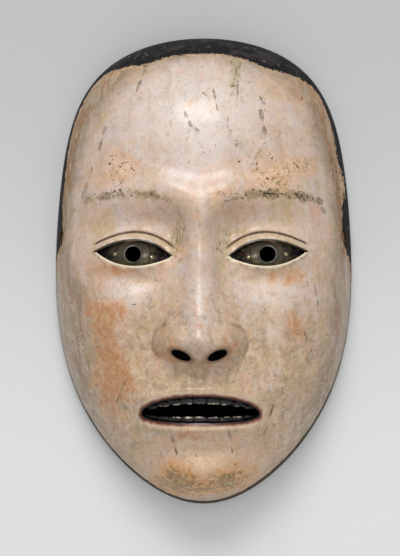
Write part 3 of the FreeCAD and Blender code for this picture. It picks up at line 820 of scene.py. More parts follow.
class Tree:
    """A Geometry Nodes tree with named inputs, and its result as a plain mesh."""

    def __init__(self, name):
        self.name, self.values = name, {}
        self.tree = bpy.data.node_groups.new(name, "GeometryNodeTree")
        for way in ("INPUT", "OUTPUT"):
            self.tree.interface.new_socket("Geometry", in_out=way, socket_type="NodeSocketGeometry")
        self.entry = self.node("NodeGroupInput")

    def node(self, kind, *values, **named):
        return step(self.tree, kind, *values, **named)

    def take(self, name, kind, value):
        """A named input, and the value it is given."""
        socket = self.tree.interface.new_socket(name, in_out="INPUT", socket_type=f"NodeSocket{kind}")
        self.values[socket.identifier] = value
        return self.entry.outputs[name]

    def number(self, operation, *terms):
        return self.node("ShaderNodeMath", *terms, operation=operation)

    def carried(self, name, kind="FLOAT"):
        """What the base mesh carries at each point under a name."""
        return self.node("GeometryNodeInputNamedAttribute", name, data_type=kind)

    def made(self, points, edges, attributes, copies, finish):
        """Turns the copies into one piece, grown on a base mesh that carries the attributes."""
        solid = self.node("GeometryNodeRealizeInstances", copies)
        shaded = self.node("GeometryNodeSetShadeSmooth", solid)
        surface = self.take("Finish", "Material", finish)
        painted = self.node("GeometryNodeSetMaterial", shaded, Material=surface)
        self.node("NodeGroupOutput", painted)
        base_mesh = bpy.data.meshes.new(f"{self.name}_base")
        base_mesh.from_pydata((points * MM).tolist(), edges, [])
        for key, values in attributes.items():
            kind, entry = ("FLOAT_VECTOR", "vector") if np.ndim(values) == 2 else ("FLOAT", "value")
            base_mesh.attributes.new(key, kind, "POINT").data.foreach_set(entry, np.ravel(values))
        base = bpy.data.objects.new(f"{self.name}_base", base_mesh)
        bpy.context.scene.collection.objects.link(base)
        modifier = base.modifiers.new("grow", "NODES")
        modifier.node_group = self.tree
        for identifier, value in self.values.items():
            modifier[identifier] = value
        bpy.context.view_layer.update()
        grown = base.evaluated_get(bpy.context.evaluated_depsgraph_get())
        mesh = bpy.data.meshes.new_from_object(grown)
        mesh.name = self.name
        base.modifiers.remove(modifier)
        bpy.data.objects.remove(base)
        piece = bpy.data.objects.new(self.name, mesh)
        bpy.context.scene.collection.objects.link(piece)
        return piece


def pin_brass():
    """Small brass nail heads, darkened in patches."""
    brass = Finish("pin_brass", (176, 164, 128), 0.30, metallic=0.9)
    brass.lay(brass.noise(0.6).rise(0.42, 0.7) * 0.6, (110, 100, 78), 0.5)
    return brass.done()


pins = Tree("eye_pins")
shank_radius = pins.take("Shank Radius", "Float", 0.5 * MM)
shank_length = pins.take("Shank Length", "Float", 3.0 * MM)
head_radius = pins.take("Head Radius", "Float", 0.95 * MM)
head_rise = pins.take("Head Rise", "Float", 0.55)
shank = pins.node("GeometryNodeMeshCylinder", Vertices=16, Radius=shank_radius, Depth=shank_length)
down = pins.node("ShaderNodeCombineXYZ", Z=pins.number("MULTIPLY", shank_length, -0.5))
shank = pins.node("GeometryNodeTransform", shank, Translation=down)
head = pins.node("GeometryNodeMeshUVSphere", Segments=24, Rings=12, Radius=head_radius)
head = pins.node("GeometryNodeTransform", head, Scale=pins.node("ShaderNodeCombineXYZ", 1.0, 1.0, head_rise))
nail = pins.node("GeometryNodeJoinGeometry")
for part in (shank, head):
    feed(nail.inputs[0], part)
turn = pins.node("FunctionNodeAlignRotationToVector", Vector=pins.carried("axis", "FLOAT_VECTOR"), axis="Z")
driven = pins.node("GeometryNodeInstanceOnPoints", pins.entry, Instance=nail, Rotation=turn)

along = np.array([-1, 1, -1, 1]) * PIN_SPACING / 2
x = np.array([-1, -1, 1, 1]) * (eye_x + along * math.cos(EYE_TILT))
y = eye_level + along * math.sin(EYE_TILT)
seats = sink(face_height, x, y, LID_DEPTH)
axes = sink(face_height, x, y, 0.0) - seats
piece = pins.made(seats, [], {"axis": axes / LID_DEPTH}, driven, pin_brass())
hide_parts("left_eye_pin_inner", "left_eye_pin_outer", "right_eye_pin_inner", "right_eye_pin_outer")
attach(piece, "root")

# ---------------------------------------------------------------------------------------------
# Teeth. Each row is carved as a strip that follows the muzzle, blackened as was the fashion at
# court, and chipped back to the white ground along the biting edge.
# ---------------------------------------------------------------------------------------------
TOOTH_PITCH, TOOTH_THICKNESS, TOOTH_SETBACK, TOOTH_GAP = 5.2, 3.2, 3.0, 5.4
TEETH_PER_ROW = 9
TOOTH_OVERLAP, TOOTH_THINNING = 0.75, 0.4


def muzzle_height(x, y):
    return dome(x, y)[0] + muzzle_relief(x, y)


def blackened():
    """Glossy tooth black over white ground."""
    black = Finish("tooth_black", (36, 35, 36), 0.22)
    chipped = black.noise(4, detail=4, shift=17).rise(0.52, 0.60)
    chips, luck = black.cells(2.6, wobble=0.5)
    bitten = black.field("tip") + (black.noise(1.6, detail=4) - 0.5) * 1.1
    black.lay_all([
        (black.noise(3, detail=3), 0.42, 0.66, 0.7, (68, 64, 62), 0.42),
        (bitten, 0.86, 0.96, chipped, (222, 214, 188), 0.5),
        (chips, 0.2, 0.12, luck.rise(0.72, 0.74), (224, 222, 210), 0.5),
    ])
    black.emboss((black.noise(1.1), 0.10))
    return black.done()


tooth_black = blackened()
for name, upward, seed in (("upper_teeth", 1, 11), ("lower_teeth", -1, 23)):
    row = Tree(f"{name}_carved")
    count = row.take("Teeth", "Int", TEETH_PER_ROW)
    width = row.take("Tooth Width", "Float", (TOOTH_PITCH + TOOTH_OVERLAP) * MM)
    thickness = row.take("Tooth Thickness", "Float", (TOOTH_THICKNESS - TOOTH_THINNING) * MM)
    tilt = row.take("Unevenness", "Float", 0.035)
    chance = row.take("Seed", "Int", seed)
    line = row.node("GeometryNodeMeshToCurve", row.entry)
    spots = row.node("GeometryNodeCurveToPoints", line, count, mode="COUNT")
    block = row.node("GeometryNodeMeshCube", Vertices_X=3, Vertices_Y=3, Vertices_Z=3)
    apart = row.node("ShaderNodeSeparateXYZ", row.node("GeometryNodeInputPosition"))
    tip = row.number("MULTIPLY_ADD", apart.outputs["Y"], -upward, 0.5)
    marked = row.node("GeometryNodeStoreNamedAttribute", block, Name="tip", Value=tip, data_type="FLOAT")
    rounded = row.node("GeometryNodeSubdivisionSurface", marked, Level=2)
    size = row.node("ShaderNodeCombineXYZ", width, row.carried("height"), thickness)
    least = row.number("MULTIPLY", tilt, -1.0)
    wobble = row.node("FunctionNodeRandomValue", Min=least, Max=tilt, Seed=chance, data_type="FLOAT_VECTOR")
    facing = row.node("FunctionNodeAlignRotationToVector", Vector=row.carried("across", "FLOAT_VECTOR"),
                      axis="X", pivot_axis="Y")
    facing = row.node("FunctionNodeRotateRotation", facing, row.node("FunctionNodeEulerToRotation", wobble))
    teeth = row.node("GeometryNodeInstanceOnPoints", spots, Instance=rounded, Rotation=facing, Scale=size)
    reach = (TEETH_PER_ROW - 1) / 2 * TOOTH_PITCH
    x = np.linspace(-reach, reach, 4 * (TEETH_PER_ROW - 1) + 1)
    share = np.abs(x) / (HALF_MOUTH - FIT_GAP)
    depth = (MOUTH_RISE if upward > 0 else MOUTH_DROP) - FIT_GAP
    lip = depth * np.sqrt(1 - share ** MOUTH_POWER)
    bite = TOOTH_GAP / 2 * np.sqrt(1 - share ** MOUTH_POWER) ** 1.2
    y = mouth_level - MOUTH_BOW * (x / HALF_MOUTH) ** 2 + upward * (lip + bite) / 2
    points = under(muzzle_height, x, y, TOOTH_SETBACK + TOOTH_THICKNESS / 2)
    slope = np.gradient(points[:, 2], points[:, 0])
    piece = row.made(points, [(i, i + 1) for i in range(len(x) - 1)], {
        "height": (lip - bite) * MM,
        "across": np.stack([np.ones_like(x), np.zeros_like(x), slope], -1),
    }, teeth, tooth_black)
    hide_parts(name)
    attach(piece, "root")

# ---------------------------------------------------------------------------------------------
# Ground coat. Powdered shell in glue is brushed over the face in many thin layers, rubbed down
# and painted a pale flesh colour. It stops just short of the rim and turns in at each opening.
# ---------------------------------------------------------------------------------------------
COAT_LIFT = 0.8
BAND_RISE, BAND_END = 17.0, 7.0
FOLD_LIFT = 2.6
COARSE_GRID, FACE_GRID = (61, 85), (170, 236)


def value_noise(points, cell, seed=0):
    """Smooth noise from -1 to 1 with features about a cell wide."""
    place = points / cell + seed * 17.31
    corner = np.floor(place)
    share = smooth(place - corner)
    total = 0
    for step_on in np.ndindex(2, 2, 2):
        luck = np.sin((corner + step_on) @ np.array([127.1, 311.7, 74.7])) * 43758.5453 % 1
        total = total + np.prod(np.where(step_on, share, 1 - share), axis=-1) * luck
    return 2 * total - 1


def rough_noise(x, y, cell, seed, octaves=3):
    places = np.stack([x, y, np.zeros_like(x)], -1)
    return sum(value_noise(places, cell / 2 ** k, seed + k) / 2 ** k for k in range(octaves)) / 1.75


def fold_line(x, y):
    """Millimetres above the carved fold over the upper lid."""
    along, across = eye_local(x, y)
    return across - (lid_line(along, UPPER_LID + FOLD_LIFT, UPPER_LEAN, EYE_HALF + 4) + 0.9)


def near_fold(x, y):
    """1 along the eye, fading out past its corners."""
    return smooth((EYE_HALF + 4.5 - np.abs(eye_local(x, y)[0])) / 5)


def brow_mask(x, y):
    """Where the painted brows were, high and soft-edged, and thinner towards the temples."""
    side = np.abs(x)
    arch = brow_level + 7.0 - 0.0050 * (side - 27) ** 2 + 0.05 * (side - 27)
    return near(y, arch, 4.4 + 0.03 * side) * smooth((side - 6) / 10) * smooth((57 - side) / 16)


def brow_line(x, y):
    """What is left of the brush line under each brow."""
    side = np.abs(x)
    arch = brow_level + 3.5 - 0.0062 * (side - 30) ** 2
    return near(y, arch, 2.3) * smooth((side - 7) / 8) * smooth((58 - side) / 10)


def chin_mask(x, y):
    return np.clip(bumps(x, y, [
        (1, -12, groove_level - 9, 11, 8), (0.9, 14, groove_level - 8, 10, 7),
        (0.6, 0, groove_level - 12, 12, 5),
    ]), 0, 1)


def flaked(x, y):
    """1 where the paint has come away in flakes, mostly on the brows and chin."""
    likely = 0.52 * brow_mask(x, y) + 0.66 * chin_mask(x, y) + 0.45 * smooth((0.16 - dome(x, y)[1]) / 0.16)
    likely = likely + bumps(x, y, [(0.30, -46, -20, 12, 14), (0.28, 34, brow_level + 12, 8, 6)])
    return smooth((rough_noise(x, y, 4.0, 21, 4) + likely - 0.80) / 0.16)


def nose_wing(x, y):
    """Distance from the middle of a nose wing, as a share of its size."""
    return np.hypot((np.abs(x) - NOSE_WIDTH * 0.36) / 5.6, (y - nose_level - 6.5) / 6.2)


def nose_crease(x, y):
    """1 along the groove behind a nose wing."""
    behind = smooth((np.abs(x) - NOSE_WIDTH * 0.36 + 3) / 5) * smooth((y - nose_level + 2) / 4)
    return near(nose_wing(x, y), 1.28, 0.20) * behind


def fine_carving(x, y):
    """Shallow forms cut last: the groove under the nose, the folds beside it and the lips' edge."""
    side = np.abs(x)
    grooves = bumps(x, y, [
        (-0.55, 0, mouth_level + 13, 2.6, 5.5), (0.30, -4.6, mouth_level + 13, 1.7, 6),
        (0.30, 4.6, mouth_level + 13, 1.7, 6), (-0.10, 0, nose_level + 5, 9, 9),
    ])
    wings = 0.9 * np.exp(-nose_wing(x, y) ** 3.0) - 0.65 * nose_crease(x, y)
    fold_x = NOSE_WIDTH * 0.52 + 0.30 * np.maximum(nose_level + 8 - y, 0)
    reach = smooth((y - mouth_level - 1) / 9) * smooth((nose_level + 13 - y) / 6)
    folds = (0.35 * near(side, fold_x + 4.5, 3.4) - 0.50 * near(side, fold_x, 2.2)) * reach
    corners = 0.45 * bump(side, y, HALF_MOUTH + 4.5, mouth_level - 6, 2.2, 6.5, turn=-0.5)
    socket = near(y, eye_level - 10.5 - 0.006 * (side - eye_x) ** 2, 1.6)
    socket = 0.30 * socket * smooth((side - 14) / 8) * smooth((44 - side) / 10)
    return grooves + wings + folds - corners - socket


def softened(x, y):
    """The carved face with its sharp inner corners eased, as many coats leave them."""
    step_x = 0.7 + 1.1 * np.exp(-(x / 4) ** 2) * smooth((y - nose_level - 6) / 6)
    ways = ((step_x, 0), (-step_x, 0), (0, 0.7), (0, -0.7))
    return 0.4 * face_height(x, y) + 0.15 * sum(face_height(x + dx, y + dy) for dx, dy in ways)


def painted_height(x, y):
    """The finished face: the carved surface with what the brush and the last knife leave on it."""
    fold, reach = fold_line(x, y), near_fold(x, y)
    folds = 0.60 * near(fold, -1.5, 1.1) + 0.45 * near(fold, 1.5, 1.2) - 0.95 * near(fold, 0, 0.5)
    lips = np.maximum(-mouth_opening(x, y), 0)
    rolled_in = 0.55 * np.exp(-np.maximum(-eye_opening(x, y), 0) / 0.5) + 0.7 * np.exp(-lips / 0.6)
    rolled_in = rolled_in + 0.6 * np.exp(np.minimum(nostril_opening(x, y), 0) / 0.5)
    lip_edge = 0.35 * near(lips, 5.6, 0.8) * smooth((HALF_MOUTH + 2 - np.abs(x)) / 8)
    brushed = 0.16 * rough_noise(x, y, 17.0, 3) + 0.05 * rough_noise(x, y, 4.5, 9)
    carved = softened(x, y) + fine_carving(x, y) + folds * reach
    return carved - rolled_in - lip_edge + brushed - 0.16 * flaked(x, y)


# Scuffs and drips: start and end on the face, half width
DARK_STROKES = [
    (-6.5, 67, -4, 61.5, 0.8), (-4, 61.5, 0.8, 58, 0.7), (5.3, 77.5, 7.2, 68, 0.5),
    (11.6, 65, 11.8, 60.5, 0.5), (25.4, 68, 27.7, 57, 0.9), (25.2, 74, 27.2, 71, 0.5),
    (1.2, 75.5, 3, 74, 0.4), (16, 84, 15.3, 69, 0.5),
    (-30, 91, -37, 82, 1.3), (-24, 88, -28, 76, 0.8), (-36, -56, -31, -45, 0.5), (-12, -70, -10, -79, 0.6),
    (44, -26, 48, -36, 0.4), (31, -57, 27, -70, 0.5), (-52, 30, -47, 44, 0.6), (50, 31, 53, 25, 1.2),
    (-30, 12, -41, 9, 0.4), (12, -66, 13.5, -78, 0.5), (-46, -34, -40, -30, 0.4), (-1, -93.8, 12, -92.4, 0.4),
    (56, 50, 56.5, 46.5, 0.8), (48, -4, 50, -14, 0.4), (22, 45, 27, 54, 0.6), (-44, 52, -41, 62, 0.7),
]
PALE_STROKES = [
    (26, 53, 27, 67, 1.4), (12.5, 80, 14.5, 96, 1.6), (-32, 52, -30, 66, 1.3), (38, 62, 40, 76, 1.5),
    (22, -40, 25, -58, 1.3), (-20, -66, -23, -80, 1.4), (46, -8, 44, -22, 1.2), (-12, 78, -10, 92, 1.5),
]


def strokes(x, y, lines):
    """1 along the middle of each stroke."""
    strongest = np.zeros_like(x)
    for x0, y0, x1, y1, half in lines:
        run_x, run_y = x1 - x0, y1 - y0
        share = np.clip(((x - x0) * run_x + (y - y0) * run_y) / (run_x ** 2 + run_y ** 2), 0, 1)
        gap = np.hypot(x - x0 - share * run_x, y - y0 - share * run_y)
        fade = (1 - 0.4 * share) * (0.7 + 0.3 * np.sin(3 * share * math.pi + x0))
        strongest = np.maximum(strongest, near(gap, 0, 1.2 * half) * fade)
    return strongest


def chipped_cord_hole(points):
    """The cord hole's edge in the coat, broken back where the cord has pulled."""
    angle = np.arctan2(points[:, 2] - CORD_RISE, points[:, 1] - CORD_LEVEL)
    pulled = np.where(points[:, 0] > 0, 1.6, 0.5)
    return cord_hole(points) - pulled * (0.45 + 0.35 * np.sin(2 * angle + 1.0) + 0.20 * np.sin(5 * angle))


def on_the_band(points):
    return np.minimum(BAND_RISE - points[:, 2], points[:, 1] - BAND_END)


def near_lines(places):
    """Says which places lie close to a carved line, a scuff or an opening."""
    fold = (np.abs(fold_line(*places.T)) < 2.2) & (near_fold(*places.T) > 0)
    return near_openings(3.0)(places) | fold | (strokes(*places.T, DARK_STROKES) > 0.02)


def near_edges(places):
    """Says which places lie on a scuff or at the very edge of an opening."""
    return near_openings(1.2)(places) | (strokes(*places.T, DARK_STROKES) > 0.05)


def wear_and_light_maps(points):
    """How the paint has aged, and where highlight and shade are painted, at each point, from 0 to 1 or in
    millimetres.
    """
    x, y, z = points.T
    side, to_right = np.abs(x), smooth((x + 30) / 60)
    share = dome(x, y)[1]
    fold = fold_line(x, y)
    along_eye, across_eye = eye_local(x, y)
    upper = smooth((across_eye + 0.4 + 0.02 * along_eye) / 0.8)
    beside_eye = np.minimum(eye_opening(x, y), 0)

    # height, middle and spreads of each worn place, painted highlight and painted shade, for the whole
    # face or for both its sides
    flush = bumps(x, y, [
        (1, -40, -20, 9, 10), (1.2, -37, -47, 8, 15), (0.7, 41, -24, 6, 8),
        (0.7, -38, 0, 13, 5), (0.6, 36, -3, 13, 5), (0.5, 0, mouth_level - 12, 24, 5),
    ]) + 0.6 * bump(side, y, 12, nose_level + 6, 6, 9)
    # pale on the forehead, nose ridge and cheekbones, partly painted highlight; under the lower lip, painted
    # highlight
    pale = bumps(side, y, [
        (0.9, 0, nose_level + 22, 7, 20), (0.75, 32, eye_level - 17, 14, 11),
        (1.1, 0, groove_level + 5, 18, 7),
    ]) + bump(x, y, -4, brow_level + 38, 36, 26)
    green = bumps(x, y, [
        (1.3, 14.5, 86, 2.4, 10, -0.1), (0.6, 17, brow_level + 24, 2.5, 8, 0.7),
    ]) + 0.8 * bump(side, y, 10, eye_level + 6, 5, 8)
    cracked = bumps(side, y, [(1, 42, -45, 18, 26), (1, 0, groove_level - 6, 26, 14)])
    # painted shade with staining at the outer cheeks
    side_shade_and_stain = bumps(x, y, [(0.9, -55, -20, 9, 17), (0.3, 57, -12, 8, 14)])
    orange = bumps(x, y, [
        (1, -36, brow_level + 13, 14, 9, 0.3), (1, 31, brow_level + 12, 15, 8), (0.5, 38, 78, 16, 12),
        (0.45, -30, 86, 14, 8), (0.8, 8, brow_level + 2, 6, 8), (0.7, 44, brow_level + 16, 7, 5),
    ])
    rubbed_hair = smooth((BAND_END + 12 - y) / 26) + bumps(x, y, [
        (0.8, 60, 38, 12, 9), (0.35, 50, 74, 10, 12), (0.18, -58, 50, 12, 30),
    ])

    # height over the rim of the hair's painted edge, and of the darkening at the foot
    temple = 9.0 + 1.8 * to_right - 3.0 * smooth((y - 38) / 30)
    hair_edge = temple + (22.0 - temple) * smooth((49 + 4 * to_right - side) / 27)
    hair_edge = hair_edge + (4.5 - 1.0 * to_right) * near(y, CORD_LEVEL, 12)
    hair_edge = hair_edge * np.clip((y + 8) / 20, 0, 1) ** 0.7
    foot = 4.0 + 10.0 * smooth((-30 - y) / 65)
    low_face = smooth((12 - y) / 50) * (1 - 0.8 * bump(x, y, 0, groove_level - 1, 26, 14))
    # painted shade with grime: darker towards the rim, where the dome turns from the light, and at the outer
    # cheeks
    edge = smooth((0.60 - share) / 0.50) * (1 - 0.6 * smooth((-45 - y) / 30)) + side_shade_and_stain
    shares = {
        "hair_wear": rubbed_hair, "brow": orange, "flush": flush, "pale": pale, "green": green,
        "cracked": cracked, "edge": edge,
    }
    return {name: np.clip(value, 0, 1) for name, value in shares.items()} | {
        "lid": 0.6 * upper - beside_eye,
        "lash": smooth((0.95 + beside_eye) / 0.5) * upper,
        "fold": np.abs(fold) + 3 * (1 - near_fold(x, y)),
        "upper_lid": smooth((0.6 - fold) / 1.2) * near_fold(x, y) * smooth((y - eye_level + 1) / 2.5),
        "lips": np.maximum(-mouth_opening(x, y), 0),
        "nostril": np.maximum(-nostril_opening(x, y), 0),
        "hair": z - hair_edge,
        "foot": smooth((foot - z) / (0.8 * foot)),
        "crease": nose_crease(x, y),
        "brow_line": brow_line(x, y) * (0.8 + 0.2 * to_right),
        "chin": chin_mask(x, y),
        # painted light on the jaw and chin
        "jaw": bump(x, y, 4, groove_level - 4, 36, 18),
        "flaked": flaked(x, y),
        "dark_stroke": strokes(x, y, DARK_STROKES),
        "pale_stroke": strokes(x, y, PALE_STROKES),
        "low_face": low_face * (1 - 0.25 * to_right),
        "cord": np.where(side > half_width / 2, np.maximum(cord_hole(points), 0), 99.0),
    }


def face_paint(name, roughness, gloss, varnish):
    """Flesh-coloured paint on shell white with the black of the hair over it, both aged, with painted light
    and shade.
    """
    paint = Finish(name, (206, 182, 162), roughness, gloss=gloss)
    paint.shader.inputs["Coat Weight"].default_value = varnish
    paint.shader.inputs["Coat Roughness"].default_value = 0.2
    noise, field = paint.noise, paint.field
    dulled = roughness + 0.08

    def drifted(cell, shift):
        return noise(cell, detail=7, roughness=0.68, distortion=0.7, shift=shift)

    def stirred(tone, stir, by):
        """A tone moved up and down by another, evenly round its middle."""
        return tone + (stir - 0.5) * by

    middling = noise(11, detail=5, roughness=0.65, distortion=0.5)
    fine = noise(3.2, detail=5, roughness=0.7)
    grain = noise(1.3, detail=3, roughness=0.7, stretch=(1, 1.6, 1), shift=64)
    brushed = noise(4.2, detail=3, stretch=(1, 8, 2), turn=0.12, shift=31)
    streak = noise(1.0, detail=3, stretch=(1, 9, 1), turn=-0.12, shift=77)
    mottle, patchy, rose = drifted(3.4, 555), drifted(5.5, 400), drifted(8, 310)
    pale, low, edge = field("pale"), field("low_face"), field("edge")
    deep, quiet = low * 0.75 + 0.25, pale * -0.22 + 0.42
    edge_shade_and_grime = edge * 1.25 + (middling - 0.5) * 1.1

    # tones that drifted apart as the paint aged: rose, orange, ochre, lavender and grey, with painted
    # highlight on the raised places and the jaw, and painted shade towards the rim
    paint.lay_all([
        (drifted(24, 7) - pale * 0.15, 0.46, 0.62, 0.75, (213, 174, 150)),
        (drifted(18, 140) + low * 0.10 + edge * 0.10 - pale * 0.10, 0.48, 0.64, 0.8, (190, 164, 122)),
        (drifted(14, 220) + pale * 0.22 - low * 0.05, 0.50, 0.66, 0.8, (208, 192, 186)),
        (rose, 0.53, 0.66, 0.65, (219, 176, 160)),
        (rose, 0.44, 0.30, 0.55, (172, 153, 130)),
        # partly painted highlight: paler on the forehead, nose ridge, cheekbones and under the lower lip
        (stirred(pale, middling, 0.9), 0.30, 1.0, 0.7, (222, 209, 199)),
        (stirred(low, middling, 0.9), 0.25, 1.0, 0.4, (186, 156, 122)),
        (patchy, 0.52, 0.62, deep * 0.75, (220, 188, 154)),
        (patchy, 0.47, 0.36, deep * 0.75, (142, 124, 92)),
        (drifted(6.5, 470), 0.55, 0.64, deep * 0.75, (204, 148, 112)),
        # painted light: the jaw and chin are painted paler
        (stirred(field("jaw"), middling, 1.2), 0.10, 0.90, 0.7, (232, 192, 150)),
        # painted shade with grime: darker and browner towards the rim and at the outer cheeks
        (edge_shade_and_grime, 0.15, 0.90, 0.9, (142, 121, 94)),
        (stirred(edge * 1.1, brushed, 2.4), 0.60, 1.0, 0.75, (152, 110, 74)),
        (edge + (0.5 - brushed) * 2.4, 0.70, 1.1, 0.5, (188, 172, 150)),
        (mottle, 0.53, 0.62, deep * 0.5, (222, 198, 168)),
        (mottle, 0.47, 0.38, deep * 0.5, (150, 126, 98)),
        (brushed, 0.54, 0.72, quiet, (226, 211, 198)),
        (brushed, 0.45, 0.30, quiet, (168, 142, 118)),
        (grain, 0.52, 0.70, 0.35, (228, 211, 196)),
        (grain, 0.47, 0.32, low * 0.25 + 0.20, (156, 130, 108)),
    ])

    # rubbed and stained places, and the groove behind each nose wing painted darker
    worn = field("flush") * 1.1 + (middling - 0.5) * 2.2 + (fine - 0.5) * 0.6
    green = stirred(field("green"), fine, 2.2)
    brow = stirred(field("brow") * 1.15, drifted(7, 12), 2.6)
    stain = stirred(field("brow_line") * 1.15, drifted(6, 47), 3.4)
    chin = stirred(field("chin"), drifted(6, 44), 2.6)
    paint.lay_all([
        (worn, 0.30, 0.75, 0.65, (204, 154, 112), dulled),
        (stirred(worn, fine, 1.6), 0.66, 0.96, 0.7, (184, 122, 80)),
        (stirred(worn, grain, 2.4), 0.75, 1.5, fine.rise(0.38, 0.64) * 0.55, (206, 190, 142)),
        (green, 0.15, 1.0, 0.7, (168, 155, 118)),
        (green, 0.25, 0.7, streak.rise(0.52, 0.60) * 0.8, (118, 103, 68)),
        (brow, 0.15, 1.10, 0.55, (212, 164, 124), dulled),
        (stirred(brow, mottle, 2.2), 0.70, 1.15, fine.rise(0.40, 0.60) * 0.6, (226, 204, 166)),
        (brow + (0.5 - mottle) * 2.6, 0.90, 1.20, grain.rise(0.46, 0.60) * 0.5, (150, 112, 72)),
        (stain, 0.25, 1.05, fine.rise(0.36, 0.60) * 0.6, (160, 140, 98), roughness + 0.1),
        (stirred(stain, mottle, 3.0), 0.75, 1.15, 0.6, (128, 108, 68)),
        (chin, 0.20, 0.75, 0.8, (222, 162, 104), dulled),
        (stirred(chin, fine, 1.9), 0.65, 0.95, 0.65, (136, 106, 50)),
        (stirred(chin, patchy, 3.0), 0.75, 1.45, 0.55, (124, 104, 54)),
        (stirred(chin, grain, 2.2), 1.00, 1.2, fine.rise(0.44, 0.56) * 0.6, (222, 194, 146)),
        # darker along the groove behind each nose wing
        (stirred(field("crease"), fine, 1.8), 0.45, 1.0, 0.6, (134, 104, 78)),
    ])

    # flakes down to the ground, and the specks that crowd round them
    flake = stirred(field("flaked"), fine, 1.2).rise(0.4, 0.6)
    paint.lay(flake * 0.6, (180, 148, 108), 0.75)
    paint.lay(flake * fine.rise(0.46, 0.58) * 0.8, (224, 208, 172))
    paint.lay(flake * grain.rise(0.55, 0.66) * 0.9, (62, 50, 36))
    dense, luck = paint.cells(1.7, wobble=0.6, shift=33)
    likely = field("brow_line") * 0.75 + field("brow") * 0.55 + field("chin") * 0.5
    crowd = dense.rise(0.40, 0.26) * stirred(luck * 0.6 + likely, patchy, 3.0).rise(1.10, 1.20)
    crumbs = noise(3.6, detail=7, roughness=0.72, distortion=1.6, shift=611) + likely * 0.14
    crumbs = crumbs - field("chin") * 0.05
    crowd = worked("MAXIMUM", crowd, crumbs.rise(0.672, 0.686))
    paint.lay(crowd * 0.95, (46, 39, 29), 0.5)
    specks, luck = paint.cells(4.6, wobble=1.6)
    chosen = luck.rise(0.50, 0.52)
    paint.lay(specks.rise(0.20, 0.13) * chosen * 0.45, (228, 210, 186))
    paint.lay(specks.rise(0.115, 0.080) * chosen * 0.85, (84, 62, 46))

    # scuffs, scratches and fine cracks
    stroke = stirred(field("dark_stroke"), fine, 1.1).rise(0.30, 0.50)
    paint.lay(stirred(field("pale_stroke"), fine, 1.6).rise(0.45, 0.95) * 0.35, (228, 214, 196))
    paint.lay(stroke * 0.55, (146, 128, 104), roughness + 0.1)
    paint.lay(stroke * streak.rise(0.50, 0.56) * 0.6, (100, 82, 58))
    gaps, _ = paint.cells(9, feature="DISTANCE_TO_EDGE", wobble=0.7)
    broken = stirred(field("cracked"), noise(8, shift=3), 1.6).rise(0.5, 0.8)
    crack = gaps.rise(0.014, 0.004) * broken * fine.rise(0.45, 0.58)
    paint.lay(crack * 0.5, (120, 90, 66))
    scratch = noise(0.55, detail=1, stretch=(1, 22, 1), turn=-0.5, shift=71).rise(0.68, 0.74)
    scratch = scratch * noise(16, shift=8).rise(0.52, 0.60)
    paint.lay(scratch * 0.6, (128, 98, 74))

    # lids, lips and nostrils
    lid = stirred(field("lid"), fine, 1.8)
    lips = stirred(field("lips"), noise(2.4, detail=4, shift=5), 1.3)
    nostril = stirred(field("nostril"), fine, 0.6)
    paint.lay(field("upper_lid") * fine.rise(0.3, 0.6) * 0.55, (200, 183, 142))
    paint.lay_all([
        # browner a little way out from each eye's edge
        (lid, 3.4, 1.2, fine.rise(0.46, 0.60) * 0.6, (148, 112, 80)),
        (lid, 1.3, 0.5, 0.9, (230, 218, 188)),
        # black along the upper lid's edge
        (stirred(field("lash"), fine, 0.7), 0.35, 0.65, 0.95, (36, 28, 24)),
        (stirred(field("fold"), fine, 0.9), 0.70, 0.15, 0.9, (78, 54, 38)),
        (stirred(lips, fine, 3), 3.6, 1.4, 0.4, (226, 206, 182)),
        (lips, 1.9, 1.1, 0.75, (150, 88, 56)),
        (lips, 1.25, 0.60, 1.0, (84, 36, 26)),
        (lips, 0.35, 0.10, 1.0, (34, 22, 20)),
        (nostril, 1.6, 0.3, 0.7, (124, 84, 64)),
        (nostril, 0.35, 0.08, 1.0, (36, 26, 22)),
    ])

    # the black of the hair, the paint darkened towards the rim, and the grime at the cord holes
    chips, luck = paint.cells(1.9, wobble=1.2, shift=510)
    rubbed = field("hair_wear")
    hair_line = stirred(field("hair"), noise(7, detail=5, roughness=0.65, shift=55), 3.0)
    hair = hair_line + (luck - 0.5) * (rubbed * 4.0 + 1.4) + (grain - 0.5) * 1.2
    gone = stirred(rubbed * 9, noise(3.5, detail=4, shift=23), 9)
    black = (hair + gone.rise(1, 14) * 16).rise(0.3, -0.1)
    drip = stirred(field("hair"), noise(2.4, detail=4, stretch=(1, 5, 5), shift=81), 26)
    scuff = noise(1.9, detail=5, roughness=0.75, stretch=(1.8, 1, 1), shift=14).rise(0.60, 0.65)
    rim_darkening = stirred(stirred(field("foot"), fine, 0.9), middling, 0.9)
    paint.lay_all([
        (drip, 3.5, 0.0, patchy.rise(0.42, 0.56) * 0.6, (164, 136, 96)),
        (hair_line, 2.6, 1.0, patchy.rise(0.48, 0.58) * 0.45, (220, 186, 154)),
        (hair_line, 1.4, 0.4, fine.rise(0.50, 0.60) * 0.6, (122, 98, 72)),
        (hair_line, 0.3, -0.2, 0.7, (214, 186, 152)),
        (hair_line, 0.3, -0.2, mottle.rise(0.52, 0.58) * 0.7, (178, 128, 90)),
    ])
    flicks = (luck * 3.6 - hair_line * 0.7 + (middling - 0.5) * 12).rise(1.7, 2.1)
    paint.lay(chips.rise(0.42, 0.30) * flicks * 0.85, (58, 50, 42))
    paint.lay(black, (22, 21, 23), 0.6)
    paint.lay(black * drifted(8, 90).rise(0.50, 0.60) * 0.8, (58, 52, 52), 0.7)
    paint.lay(black * scuff * 0.5, (116, 106, 94))
    paint.lay(black * scuff * drifted(7, 700).rise(0.56, 0.60) * 0.9, (206, 196, 180))
